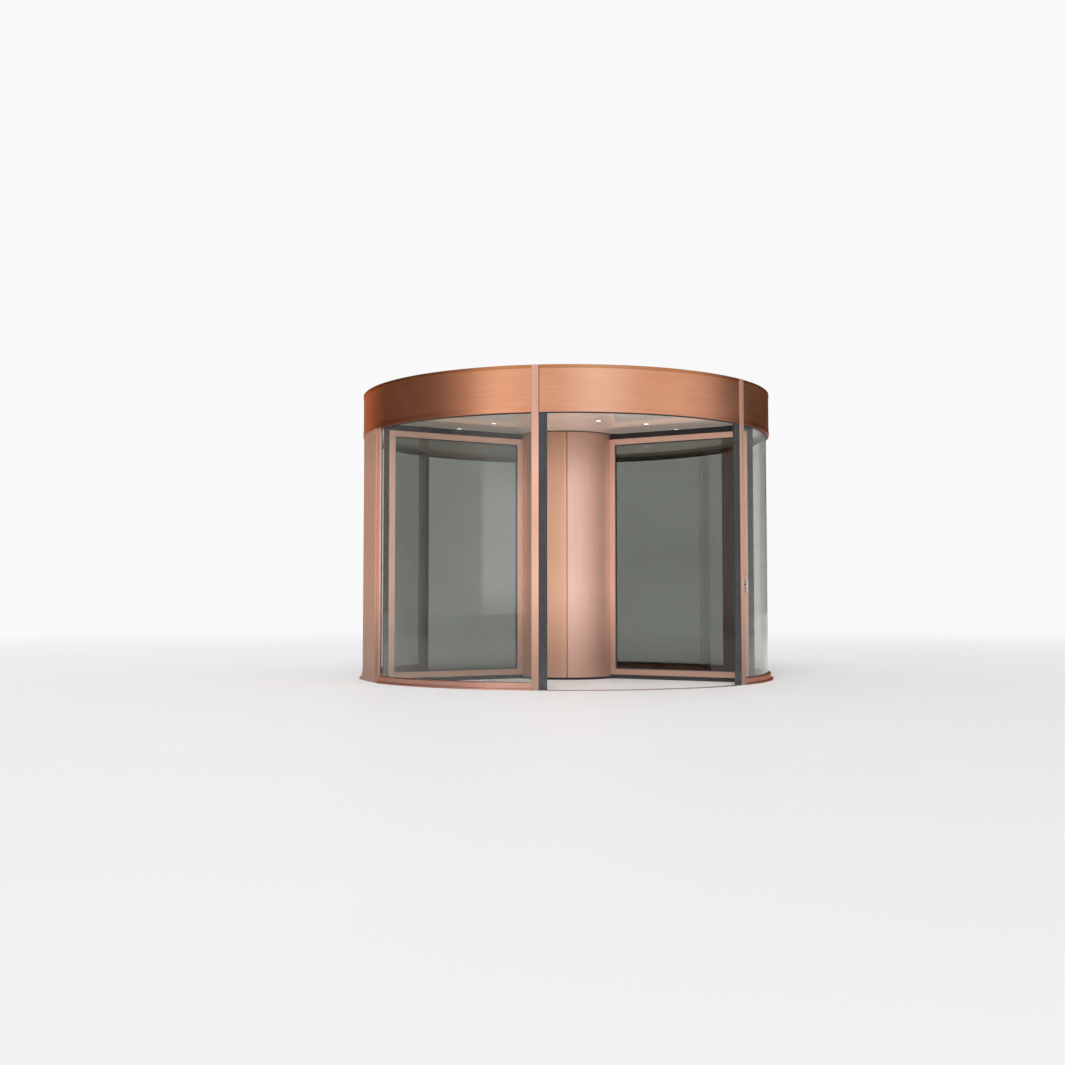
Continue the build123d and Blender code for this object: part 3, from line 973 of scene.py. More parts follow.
@dataclass
class Assembly:
    """A group of pieces that ride on one CAD body."""

    body: str
    made: list[bpy.types.Object] = field(default_factory=list)

    def place(self, name: str, shape: Shape, finish: Finish, slot: str, *replaced: str) -> None:
        """Makes a piece at the world's origin.

        Args:
            name: the piece's name.
            shape: its surface.
            finish: its finish.
            slot: the record's material slot that the finish belongs to; not used.
            replaced: the CAD nodes that the piece stands for.
        """
        mesh = shape.mesh(name)
        mesh.materials.append(finish.material())
        piece = bpy.data.objects.new(name, mesh)
        bpy.context.scene.collection.objects.link(piece)
        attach(piece, self.body)
        if replaced:
            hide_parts(*replaced)
        self.made.append(piece)
        report.info("%s: %d faces, %s", name, len(mesh.polygons), finish.name)

    def dress(self, node: str, finish: Finish) -> None:
        """Gives a CAD node that stays a better material.

        Args:
            node: the node's name.
            finish: its finish.
        """
        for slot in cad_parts[node].material_slots:
            slot.material = finish.material()
        report.info("%s: kept, %s", node, finish.name)


@dataclass
class Canopy(Assembly):
    """Cladding, bands, headers, seals, deck and the ceiling with its lamps."""

    skin: float = 0.004
    fold: float = 0.003
    edge_round: float = 0.001
    seal_round: float = 0.004
    end_joint: float = 0.11
    mouth_seal: float = 28.0
    pane_seal: float = 26.5
    lining_gap: float = 0.0006
    lining_skin: float = 0.0015
    lining_top: float = 2.466
    deck_sheets: int = 8
    deck_joint: float = 0.004
    deck_sheet: float = 0.003
    deck_drop: float = 0.0015
    deck_core: float = 0.002
    deck_hub: float = 0.28
    deck_screw: float = 0.005
    screw_inset: float = 0.02
    screw_turn: float = 3.0
    first_screw: float = 0.45
    last_screw: float = 0.15
    rim_screws: int = 7
    joint_screws: int = 6
    lamp_radius: float = 0.0335
    lamp_rim: float = 0.040
    rim_proud: float = 0.0008
    rim_round: float = 0.002
    cup_depth: float = 0.014
    cup_back: float = 0.030
    lens_inset: float = 0.0042
    lens_draft: float = 0.0024
    lens_height: float = 0.0008
    lens_arch: float = 0.0025
    lamp_count: int = 15
    lamp_sides: int = 48
    lamp_bearing: float = -8.0

    def build(self) -> None:
        """Builds every piece of the canopy."""
        self.cladding()
        self.bands()
        self.headers()
        self.seals()
        self.deck()
        self.deck_screws()
        self.ceiling()

    def length(self, profile: Array, side: str) -> Shape:
        """Turns a profile along one side of the cladding.

        Args:
            profile: closed outline, (n, 2).
            side: the side, whose ends are drawn in a little over the mouths.

        Returns:
            The turned length.
        """
        at = Reach.of(f"canopy_fascia_{side}", SIDES[side])
        trim = self.end_joint if SIDES[side] in MOUTHS else 0
        return Shape.turned(profile, at.start + trim, at.end - trim)

    def cladding(self) -> None:
        """Each fascia: a sheet folded in at the top and the bottom, turned between two posts."""
        lip = Reach.of("mouth_headers").outer + SEAT_GAP
        for side, middle in SIDES.items():
            node = f"canopy_fascia_{side}"
            at = Reach.of(node, middle)
            back, roof, foot = at.outer - self.skin, at.high - self.skin, at.low + self.skin
            corners = [
                (at.outer, at.low), (at.outer, at.high), (at.inner, at.high), (at.inner, roof),
                (back, roof), (back, foot), (lip, foot), (lip, at.low),
            ]
            profile = outline(corners, [self.fold, self.fold, 0, 0, 0, 0, self.edge_round, self.edge_round])
            self.place(f"fascia_{side}", self.length(profile, side), COPPER, "copper_cladding", node)

    def bands(self) -> None:
        """Flat strips along the cladding's two edges, in four lengths each."""
        at = Reach.of("canopy_bands")
        foot_head, top_foot = gap("canopy_bands")
        outer = float(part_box("canopy_bands")[1].x)
        for name, low, high, finish in (
            ("top_bands", top_foot, at.high, TOP_TRIM),
            ("foot_bands", at.low, foot_head, TRIM),
        ):
            profile = rectangle(at.inner, outer, low, high, [0, self.edge_round, self.edge_round, 0], 3)
            strips = Shape.joined(self.length(profile, side) for side in SIDES)
            self.place(name, strips, finish, "copper_trim", "canopy_bands")

    def headers(self) -> None:
        """Headers over the mouths, which go on behind the panes as a thin lining.

        The lining ends below the ceiling.
        """
        reaches = [Reach.of("mouth_headers", middle, MOUTH_REACH) for middle in MOUTHS]
        pieces = [at.bar(self.edge_round, 3) for at in reaches]
        behind = reaches[-1].outer + self.lining_gap
        foot = reaches[-1].low + self.skin + SEAT_GAP
        lining = rectangle(behind, behind + self.lining_skin, foot, self.lining_top)
        for middle in PANES.values():
            pieces.append(Reach.of("canopy_seals", middle, self.pane_seal).turned(lining))
        self.place("headers", Shape.joined(pieces), HEADER, "ceiling_sheet", "mouth_headers")

    def seals(self) -> None:
        """Black seals under the cladding, with round lower edges."""
        spans = [(middle, self.mouth_seal) for middle in MOUTHS]
        spans += [(middle, self.pane_seal) for middle in PANES.values()]
        radii = [self.seal_round, self.seal_round, 0, 0]
        pieces = [Reach.of("canopy_seals", middle, half).bar(radii) for middle, half in spans]
        self.place("seals", Shape.joined(pieces), RUBBER, "black_rubber", "canopy_seals")

    def deck(self) -> None:
        """The deck as sector sheets with open joints, on a base.

        A sheet's outline is an arc at the rim and a smaller one round the hub, and its
        sides are moved in by half the joint over the radius.
        """
        at = Reach.of("canopy_deck")
        top = at.high - self.deck_drop
        seat = top - self.deck_sheet
        share = 360 / self.deck_sheets
        half = math.degrees(self.deck_joint / 2 / self.deck_hub)
        edge = self.edge_round
        shapes = [Shape.turned(rectangle(self.deck_core, at.outer, at.low, seat), 0, 360, 2)]
        profile = rectangle(self.deck_hub, at.outer, seat, top, [0, 0, edge, edge], 2)
        for start in np.arange(self.deck_sheets) * share:
            shapes.append(Shape.turned(profile, start + half, start + share - half, 1.5))
        cap = rectangle(self.deck_core, self.deck_hub - self.deck_joint, seat, top, [0, 0, edge, 0], 2)
        shapes.append(Shape.turned(cap, 0, 360, 3))
        self.place("deck", Shape.joined(shapes), DECK, "deck_sheet", "canopy_deck")

    def deck_screws(self) -> None:
        """Screws along the rim of each deck sheet and along one of its sides."""
        at = Reach.of("canopy_deck")
        top = at.high - self.deck_drop
        share = 360 / self.deck_sheets
        edge = np.arange(self.deck_sheets)[:, None] * share
        rim = (edge + np.linspace(self.screw_turn, share - self.screw_turn, self.rim_screws)).ravel()
        inward = np.linspace(self.first_screw, at.outer - self.last_screw, self.joint_screws)
        sides = polar(inward, edge + np.degrees(self.screw_inset / inward), top).reshape(-1, 3)
        places = np.concatenate([polar(at.outer - self.screw_inset, rim, top), sides])
        self.place("deck_screws", screws(places, UP, self.deck_screw), SCREW, "machined_steel")

    def ceiling(self) -> None:
        """The CAD ceiling with its polish, and a rim, a cup and a lens in each lamp hole.

        The lens's face rises with the square of the distance from its middle.
        """
        self.dress("ceiling", CEILING)
        ring = Reach.of("downlights")
        bearing = self.lamp_bearing + np.arange(self.lamp_count) * 360 / self.lamp_count
        places = polar((ring.inner + ring.outer) / 2, bearing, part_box("ceiling")[0].z)
        axes = np.tile(np.eye(3), (self.lamp_count, 1, 1))
        wall, rim, proud, bead = self.lamp_radius, self.lamp_rim, self.rim_proud, self.rim_round
        profile = np.array([
            (0, self.cup_depth), (wall - 3 * bead, self.cup_depth), (wall - 1.5 * bead, bead),
            (wall - bead / 2, -0.6 * proud), (wall + bead, -proud), (rim - bead, -proud),
            (rim, -0.4 * proud), (rim, -HAIR), (wall, -HAIR), (wall, self.cup_back), (0, self.cup_back),
        ])
        lamps = Shape.spun(profile, self.lamp_sides).copied(axes, places)
        self.place("lamp_rims", lamps, RIM, "lamp_glass", "downlights")
        arch = np.linspace(0, 1, 7)
        edge = wall - self.lens_inset
        back = self.cup_depth - HAIR
        dome = np.stack([edge * arch, self.lens_height + self.lens_arch * arch**2], -1)
        lens = np.concatenate([dome, [(edge - self.lens_draft, back), (0, back)]])
        lenses = Shape.spun(lens, self.lamp_sides).copied(axes, places)
        self.place("lamp_lenses", lenses, LENS, "lamp_glass")


@dataclass
class Walls(Assembly):
    """Posts, jambs, curved glass, bottom rails, safety edges and thresholds."""

    post_bearing: float = 30.0
    end_bearing: float = 82.5
    post_round: float = 0.003
    glass_arris: float = 0.001
    rail_rounds: tuple[float, ...] = (0, 0.001, 0.005, 0.002, 0.007, 0.001, 0, 0.001)
    rail_edge: float = 0.0005
    rail_head: float = 0.006
    rail_screw: float = 0.0035
    rail_screws: int = 6
    rail_turn: float = 2.5
    screw_drop: float = 0.002
    wedge_thick: float = 0.005
    wedge_sink: float = 0.001
    wedge_proud: float = 0.0025
    wedge_rounds: tuple[float, ...] = (0, 0, 0.0018, 0.001)
    play: float = 0.0001
    end_wedge_width: float = 0.009
    end_wedge_thick: float = 0.006
    end_wedge_round: float = 0.002
    edge_nose: float = 0.012
    groove_depth: float = 0.0012
    grooves: tuple[float, ...] = (0.66, 0.34)
    groove_half: float = 0.04
    ribs: int = 8
    rib_depth: float = 0.0009
    rib_points: int = 12
    strip_screw: float = 0.005
    strip_screws: int = 7
    strip_turn: float = 2.0
    strip_sink: float = 0.0006

    def build(self) -> None:
        """Builds every piece of the walls."""
        self.posts()
        self.jambs()
        for side, middle in PANES.items():
            pane = Reach.of(f"wall_glass_{side}", middle)
            shape = pane.bar(self.glass_arris, 2)
            self.place(f"pane_{side}", shape, WALL_GLASS, "wall_glass", f"wall_glass_{side}")
            self.rail(side, middle, pane)
            self.end_wedge(side, pane)
        self.safety_edges()
        self.thresholds()

    def posts(self) -> None:
        """Mouth posts and end posts: rounded rectangles drawn upright."""
        for node, angle, name in (
            ("mouth_posts", self.post_bearing, "posts"),
            ("end_posts", self.end_bearing, "wall_posts"),
        ):
            bearings = (-angle, angle, 180 - angle, 180 + angle)
            shapes = [Block.of(node, bearing).prism(self.post_round) for bearing in bearings]
            self.place(name, Shape.joined(shapes), POST_COPPER, "copper_cladding", node)

    def jambs(self) -> None:
        """Wall jambs: flat outside, a hollow arc inside, between the end posts."""
        for side, sign in (("right", 1), ("left", -1)):
            node = f"wall_jamb_{side}"
            low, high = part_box(node)
            inner = Reach.of(node, 90 * sign, 20).inner
            face = max(abs(low.x), abs(high.x))
            half = high.y
            arc = plan_arc(inner, math.asin(half / inner), 23)
            plan = np.concatenate([arc, [(-half, face), (half, face)]])
            shape = Shape.upright(plan, 90 * sign, low.z, high.z)
            self.place(f"jamb_{side}", shape, JAMB_COPPER, "copper_cladding", node)

    def rail(self, side: str, middle: float, pane: Reach) -> None:
        """One bottom rail: foot, step, rounded shoulder and the rebate that the pane stands in.

        Args:
            side: the pane's side.
            middle: its middle bearing.
            pane: the pane's reach.
        """
        node = f"bottom_rail_{side}"
        at = Reach.of(node, middle)
        points = coordinates(node)
        radius = np.hypot(points[:, 0], points[:, 1])
        foot = float(points[radius > at.outer - self.rail_edge][:, 2].max())
        shoulder = widest(node, at.high - self.rail_head, at.high)
        seat = pane.outer + SEAT_GAP
        corners = [
            (at.inner, at.low), (at.outer, at.low), (at.outer, foot), (shoulder, foot),
            (shoulder, at.high), (seat, at.high), (seat, pane.low), (at.inner, pane.low),
        ]
        shape = at.turned(outline(corners, self.rail_rounds))
        self.place(f"rail_{side}", shape, RAIL_COPPER, "copper_cladding", node)
        low, high = at.high - self.wedge_sink, at.high + self.wedge_proud
        wedge = rectangle(seat - self.play, seat + self.wedge_thick, low, high, self.wedge_rounds)
        self.place(f"wedge_{side}", at.turned(wedge), RUBBER, "black_rubber")
        bearing = np.linspace(at.start + self.rail_turn, at.end - self.rail_turn, self.rail_screws)
        places = polar(shoulder, bearing, (foot + at.high) / 2 - self.screw_drop)
        heads = screws(places, polar(1.0, bearing, 0.0), self.rail_screw)
        self.place(f"rail_screws_{side}", heads, RAIL_COPPER, "copper_cladding")

    def end_wedge(self, side: str, pane: Reach) -> None:
        """An upright rubber wedge outside the end of a pane, where it meets the wall post.

        Args:
            side: the pane's side.
            pane: the pane's reach.
        """
        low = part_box(f"bottom_rail_{side}")[1].z + self.wedge_proud + self.play
        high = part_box("canopy_seals")[0].z - HAIR
        face = pane.outer + self.end_wedge_thick
        edge = self.end_wedge_round
        profile = rectangle(pane.outer + HAIR, face, low, high, [0, edge, edge, 0], 3)
        width = math.degrees(self.end_wedge_width / pane.outer)
        start = pane.end - width if side in ("front_right", "back_left") else pane.start
        wedge = Shape.turned(profile, start, start + width)
        self.place(f"end_wedge_{side}", wedge, RUBBER, "black_rubber")

    def safety_edges(self) -> None:
        """Rubber profiles, each with a round nose towards the mouth and two grooves in its face."""
        angle = self.post_bearing
        shapes = []
        root_on_left = {-angle: True, angle: False, 180 - angle: True, 180 + angle: False}
        for bearing, on_left in root_on_left.items():
            at = Block.of("safety_edges", bearing)
            root, tip = (at.left, at.right) if on_left else (at.right, at.left)
            corners = [(root, at.inner), (tip, at.inner), (tip, at.outer)]
            for share in self.grooves:
                for step in (self.groove_half, 0, -self.groove_half):
                    depth = 0 if step else self.groove_depth
                    corners.append((root + (share + step) * (tip - root), at.outer - depth))
            corners.append((root, at.outer))
            plan = outline(corners, [0, self.edge_nose, self.edge_nose] + [0] * 7, 8)
            shapes.append(Shape.upright(plan, bearing, at.low, at.high))
        self.place("safety_profiles", Shape.joined(shapes), RUBBER, "black_rubber", "safety_edges")

    def thresholds(self) -> None:
        """Low strips across the mouths with ribs along them, and countersunk screws.

        The top runs down and up again by the rib's depth along a cosine of the radius.
        """
        shapes = []
        heads = []
        share = np.linspace(0, 1, self.rib_points * self.ribs + 1)
        wave = 0.5 - 0.5 * np.cos(2 * np.pi * self.ribs * share)
        for middle in MOUTHS:
            at = Reach.of("thresholds", middle, MOUTH_REACH)
            slope = at.high - at.low - HAIR
            radius = np.linspace(at.outer - slope, at.inner + slope, len(share))
            top = np.stack([radius, at.high - self.rib_depth * wave], -1)
            shapes.append(at.turned(np.concatenate([[(at.inner, at.low), (at.outer, at.low)], top])))
            bearing = np.linspace(at.start + self.strip_turn, at.end - self.strip_turn, self.strip_screws)
            places = polar((at.inner + at.outer) / 2, bearing, at.high - self.strip_sink)
            heads.append(screws(places, UP, self.strip_screw))
        self.place("threshold_strips", Shape.joined(shapes), STRIP, "threshold_metal", "thresholds")
        self.place("threshold_screws", Shape.joined(heads), SCREW, "machined_steel")


@dataclass
class KeySwitch(Assembly):
    """The key switch on the front right post: a housing, a face plate and the barrel."""

    bearing: float = 30.0
    corner: float = 0.006
    plate_round: float = 0.003
    plate_sink: float = 0.001
    plate_proud: float = 0.0008
    screw: float = 0.0025
    screw_inset: float = 0.014
    ring_width: float = 0.0045
    ring_neck: float = 0.002
    ring_foot: float = 0.0008
    ring_proud: float = 0.0022

    def build(self) -> None:
        """Builds the housing, the plate and the barrel's ring."""
        at = Block.of("key_switch", self.bearing)
        face = at.outer - self.plate_proud
        self.housing(at, face)
        self.plate(at, face)
        self.barrel()

    def housing(self, at: Block, face: float) -> None:
        """A box with round corners and ends: each end's rings shrink along a quarter circle.

        Args:
            at: the switch's block.
            face: the radius of the housing's own face.
        """
        section = rectangle(at.left, at.right, at.inner, face, [0, 0, self.corner, self.corner], 6)
        phase = np.linspace(0, np.pi / 2, 6)
        inset = self.corner * (1 - np.sin(phase))
        rise = self.corner * (1 - np.cos(phase))
        insets = np.concatenate([inset, inset[::-1]])[:, None]
        heights = np.concatenate([at.low + rise, at.high - rise[::-1]])
        centre = (at.left + at.right) / 2
        x = centre + (section[:, 0] - centre) * (1 - insets / ((at.right - at.left) / 2))
        y = section[:, 1] - (section[:, 1] - at.inner) / (face - at.inner) * insets
        across, away, up = directions(self.bearing)
        rings = x[..., None] * across + y[..., None] * away + heights[:, None, None] * up
        self.place("switch_housing", Shape.swept(rings), SATIN, "switch_metal", "key_switch")

    def plate(self, at: Block, face: float) -> None:
        """A thin bright plate on the housing's face, with a screw at each end.

        Args:
            at: the switch's block.
            face: the radius of the housing's own face.
        """
        edge = self.corner
        section = rectangle(at.left + edge, at.right - edge, at.low + edge, at.high - edge, self.plate_round)
        shape = Shape.outward(section, self.bearing, face - self.plate_sink, at.outer)
        self.place("switch_plate", shape, SATIN, "switch_metal")
        across, away, up = directions(self.bearing)
        heights = np.array([[at.low + self.screw_inset], [at.high - self.screw_inset]])
        places = away * (at.outer - HAIR) + across * (at.left + at.right) / 2 + heights * up
        self.place("switch_screws", screws(places, away, self.screw), SCREW, "machined_steel")

    def barrel(self) -> None:
        """A turned ring round the CAD barrel, which keeps its key slot."""
        self.dress("key_barrel", BARREL)
        points = coordinates("key_barrel")
        centre = (points.min(0) + points.max(0)) / 2
        across, away, up = directions(self.bearing)
        foot = (points @ across).max()
        base = centre + across * (foot - centre @ across)
        wall = (points[:, 2].max() - points[:, 2].min()) / 2
        bore, rim = wall + HAIR, wall + self.ring_width
        profile = np.array([
            (bore, 0.0), (rim, 0.0), (rim, self.ring_foot),
            (wall + self.ring_neck, self.ring_proud), (bore, self.ring_proud),
        ])
        angle = np.linspace(0, 2 * np.pi, 40, endpoint=False)[:, None, None]
        radial = np.cos(angle) * away + np.sin(angle) * up
        rings = profile[:, :1] * radial - profile[:, 1:] * across + base
        self.place("switch_ring", Shape.swept(rings, True), SATIN, "switch_metal")


@dataclass
class Column(Assembly):
    """The clad column: three sheets with hemmed edges, and dark plinths above and below."""

    hem: float = 0.016
    hem_skin: float = 0.0015
    hem_gap: float = 0.0005
    bend: float = 0.004
    sheet_points: int = 90
    plinth_round: float = 0.001
    level: float = 0.0001

    def build(self) -> None:
        """Builds the sheets and the plinths, and dresses the shaft."""
        tones = (PALE_COPPER, WARM_COPPER, PALE_COPPER)
        for number, (bearing, tone) in enumerate(zip(WING_BEARINGS, tones), 1):
            shape = self.sheet(bearing)
            self.place(f"column_sheet_{number}", shape, tone, "copper_cladding", "column_panels")
        for node, name in (("column_base", "plinth_foot"), ("column_head", "plinth_head")):
            self.plinth(node, name)
        self.dress("rotor_shaft", STEEL)

    def sheet(self, bearing: float) -> Shape:
        """One sheet in plan: the outer arc, a round bend into a hem at each edge, the inner arc.

        Args:
            bearing: its middle bearing.

        Returns:
            The sheet drawn upright.
        """
        at = Reach.of("column_panels", bearing, 60.0)
        half = math.radians((at.end - at.start) / 2)
        limit = half - self.bend / at.outer
        outer = plan_arc(at.outer, limit, self.sheet_points)
        inner = plan_arc(at.inner, -limit, self.sheet_points)
        away = np.array([math.sin(half), math.cos(half)])
        side = np.array([math.cos(half), -math.sin(half)])
        turn = np.linspace(np.pi / 2, 0, 6)[:-1, None]
        corner = (at.outer - self.bend) * away - self.bend * side
        bend = corner + self.bend * (np.sin(turn) * side + np.cos(turn) * away)
        hem = (at.outer - self.hem) * away
        lip = (at.inner - self.hem_gap) * away
        skin = self.hem_skin * side
        right = np.concatenate([[lip - skin, hem - skin, hem], bend])
        left = (right * [-1, 1])[::-1]
        return Shape.upright(np.concatenate([right, outer, left, inner]), bearing, at.low, at.high)

    def plinth(self, node: str, name: str) -> None:
        """A plinth: the plate behind the sheets and the recessed disc that shows in the gap.

        Args:
            node: the CAD plinth.
            name: the piece's name.
        """
        at = Reach.of(node)
        step = float(np.unique(np.round(coordinates(node)[:, 2], 5))[1])
        foot = widest(node, at.low, at.low + self.level)
        head = widest(node, at.high - self.level, at.high)
        corners = [
            (at.inner, at.low), (foot, at.low), (foot, step),
            (head, step), (head, at.high), (at.inner, at.high),
        ]
        edge = self.plinth_round
        shape = Shape.turned(outline(corners, [0, edge, 0, 0, edge, 0], 2), 0, 360, 1.5)
        self.place(name, shape, DARK, "dark_plinth", node)


@dataclass(frozen=True)
class Strip:
    """A brush: from start to end along a line, with bristles that reach out from its root."""

    root: Array
    along: Array
    reach: Array
    start: float
    end: float
    depth: float


@dataclass
class Wing(Assembly):
    """One wing: stiles, rails, pane, gaskets and brushes."""

    number: int = 1
    bearing: float = 39.0
    edge: float = 0.003
    joint: float = 0.0004
    pane_arris: float = 0.001
    bead: float = 0.014
    groove_width: float = 0.0012
    groove_depth: float = 0.001
    gasket_width: float = 0.009
    gasket_proud: float = 0.0045
    gasket_head: float = 0.006
    gasket_rounds: tuple[float, ...] = (0, 0.0005, 0.0025, 0.001)
    brush_root: float = 0.006
    brush_start: float = 0.001
    brush_stop: float = 0.008
    holder_depth: float = 0.014
    holder_round: float = 0.002
    bristle_root: float = 0.010
    bristle_inset: float = 0.0015
    taper: float = 0.28
    comb: float = 0.0006
    sway: float = 0.0008
    sway_turn: float = 9.0
    pitch: float = 0.0036
    clear: float = 0.0025
    ceiling_clear: float = 0.0012
    ragged: float = 0.001
    seed: int = 7

    def build(self) -> None:
        """Builds the wing's pieces from its CAD nodes, in the wing's own directions."""
        name = f"wing_{self.number}"
        stiles = Block.of(f"{name}_stiles", self.bearing)
        rails = Block.of(f"{name}_rails", self.bearing)
        pane = Block.of(f"{name}_glass", self.bearing)
        opening = gap(f"{name}_rails")
        self.frame(name, stiles, rails, opening)
        shape = pane.prism(self.pane_arris, 2)
        self.place(f"{name}_pane", shape, WING_GLASS, "wing_glass", f"{name}_glass")
        self.gaskets(name, pane.right, (rails.inner, rails.outer), opening)
        self.brushes(name, stiles)

    def frame(self, name: str, stiles: Block, rails: Block, opening: Sequence[float]) -> None:
        """Stiles drawn upright and rails drawn outwards, each with round edges and a fine bead line.

        Args:
            name: the wing's name.
            stiles: the block of both stiles.
            rails: the block of both rails, which lie between the stiles.
            opening: the heights between which the pane shows.
        """
        half, bead = stiles.right, self.bead
        near, far = rails.inner, rails.outer
        sill, head = opening
        uprights = [
            Shape.upright(self.tube(half, first, last, line), self.bearing, stiles.low, stiles.high)
            for first, last, line in ((stiles.inner, near, near - bead), (far, stiles.outer, far + bead))
        ]
        shape = Shape.joined(uprights)
        self.place(f"{name}_uprights", shape, WING_COPPER, "copper_cladding", f"{name}_stiles")
        near, far = near + self.joint, far - self.joint
        crossbars = [
            Shape.outward(self.tube(half, first, last, line), self.bearing, near, far)
            for first, last, line in ((stiles.low, sill, sill - bead), (head, stiles.high, head + bead))
        ]
        shape = Shape.joined(crossbars)
        self.place(f"{name}_crossbars", shape, WING_COPPER, "copper_cladding", f"{name}_rails")

    def tube(self, half: float, first: float, last: float, line: float) -> Array:
        """A frame member's section: a rectangle with round corners and a groove across both broad faces.

        Args:
            half: half its width across the wing.
            first: where it starts.
            last: where it ends.
            line: the groove's middle, where the glazing bead meets the frame.

        Returns:
            The closed outline, (n, 2).
        """
        wide, narrow = self.groove_width, self.groove_width / 2
        deep = half - self.groove_depth
        right = [
            (half, first), (half, line - wide), (deep, line - narrow),
            (deep, line + narrow), (half, line + wide), (half, last),
        ]
        left = [(-x, y) for x, y in right[::-1]]
        edge = self.edge
        return outline([left[-1], *right, *left[:-1]], [edge, edge, 0, 0, 0, 0, edge, edge, 0, 0, 0, 0], 4)

    def gaskets(self, name: str, face: float, reach: Sequence[float], opening: Sequence[float]) -> None:
        """Black glazing gaskets with a round bead, mitred round both faces of the pane.

        Args:
            name: the wing's name.
            face: how far the pane's face lies from the wing's middle plane.
            reach: the radii between which the pane shows.
            opening: the heights between which it shows.
        """
        shapes = []
        for side in (-1, 1):
            corners = [
                (0, side * face), (self.gasket_width, side * face),
                (self.gasket_width, side * (face + self.gasket_proud)), (0, side * (face + self.gasket_head)),
            ]
            shapes.append(Shape.mitred(outline(corners, self.gasket_rounds), self.bearing, reach, opening))
        self.place(f"{name}_gaskets", Shape.joined(shapes), RUBBER, "black_rubber", "glazing_gaskets")

    def brushes(self, name: str, stiles: Block) -> None:
        """Holders and bristles along the outer edge, the foot and the head of the wing.

        Args:
            name: the wing's name.
            stiles: the block of both stiles.
        """
        tip = Reach.of("wall_glass_back_left").inner - self.clear
        floor, roof = self.clear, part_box("ceiling")[0].z - self.ceiling_clear
        half = Block.of(f"{name}_brushes", self.bearing).right
        away, up = directions(self.bearing)[1:]
        edge = stiles.outer - self.brush_root
        foot = stiles.low + self.brush_root
        head = stiles.high - self.brush_root
        ends = (stiles.inner + self.brush_start, stiles.outer - self.brush_stop)
        strips = (
            Strip(away * edge, up, away, floor, roof, tip - edge),
            Strip(up * foot, away, -up, *ends, foot - floor),
            Strip(up * head, away, up, *ends, roof - head),
        )
        holders = Shape.joined(self.holder(strip, half) for strip in strips)
        self.place(f"{name}_holders", holders, DARK, "black_brush")
        bristles = Shape.joined(self.bristles(strip, half - self.bristle_inset) for strip in strips)
        self.place(f"{name}_bristles", bristles, BRISTLE, "black_brush", f"{name}_brushes")

    def holder(self, strip: Strip, half: float) -> Shape:
        """The part that grips the bristles: a rounded rectangle carried along the edge.

        Args:
            strip: where the brush runs.
            half: half the holder's width.

        Returns:
            The closed bar.
        """
        edge = self.holder_round
        section = rectangle(-half, half, 0.0, self.holder_depth, [0, 0, edge, edge], 3)
        axes = np.array([directions(self.bearing)[0], strip.reach])
        start, end = strip.root + strip.along * strip.start, strip.root + strip.along * strip.end
        return Shape.drawn(section, axes, start, end)

    def bristles(self, strip: Strip, half: float) -> Shape:
        """Bristles in tufts.

        The section runs from the holder to the tip and back. At distance s along the edge
        its half width is the strip's, narrowed a little towards the tip, plus a cosine of s
        over the pitch that grows with the reach, and its tip moves in and out at random by
        a millimetre at most from tuft to tuft.

        Args:
            strip: where the brush runs.
            half: half the width of the bristles at their root.

        Returns:
            The closed strip.
        """
        tufts = int((strip.end - strip.start) / self.pitch)
        stations = 2 * tufts + 1
        s = np.linspace(strip.start, strip.end, stations)[:, None]
        share = np.array([0, 0.35, 0.7, 0.94, 1, 1, 0.94, 0.7, 0.35, 0])[None]
        side = np.array([1, 1, 1, 1, 0.45, -0.45, -1, -1, -1, -1])[None]
        comb = np.cos(np.pi * np.arange(stations))[:, None]
        draw = np.random.default_rng(self.seed + self.number)
        ragged = np.repeat(draw.uniform(0.0, self.ragged, tufts + 1), 2)[:stations, None]
        width = half * (1 - self.taper * share) + self.comb * comb * share
        length = self.bristle_root + (strip.depth - self.bristle_root - ragged) * share
        sway = self.sway * np.sin(s * self.sway_turn) * share
        across = directions(self.bearing)[0]
        points = strip.root + strip.along * s[..., None] + strip.reach * length[..., None]
        return Shape.swept(points + across * (width * side + sway)[..., None])


@dataclass
class Gear(Assembly):
    """What holds and turns the rotor: the floor bearing and the drive, as the CAD makes them."""

    def build(self) -> None:
        """Dresses both."""
        self.dress("floor_bearing", STEEL)
        self.dress("drive_unit", DRIVE)


@dataclass(frozen=True)
class Lamp:
    """A very soft, distant lamp, which metal and glass don't mirror.

    source is the direction that its light comes from, and spread its width in degrees.
    """

    name: str
    source: tuple[float, float, float]
    power: float
    spread: float

    def light(self, scene: bpy.types.Scene) -> None:
        """Hangs the lamp in a scene.

        Args:
            scene: the scene.
        """
        data = bpy.data.lights.new(self.name, "SUN")
        data.energy = self.power
        data.angle = math.radians(self.spread)
        lamp = bpy.data.objects.new(self.name, data)
        lamp.rotation_euler = (-Vector(self.source)).to_track_quat("-Z", "Y").to_euler()
        lamp.visible_glossy = False
        scene.collection.objects.link(lamp)


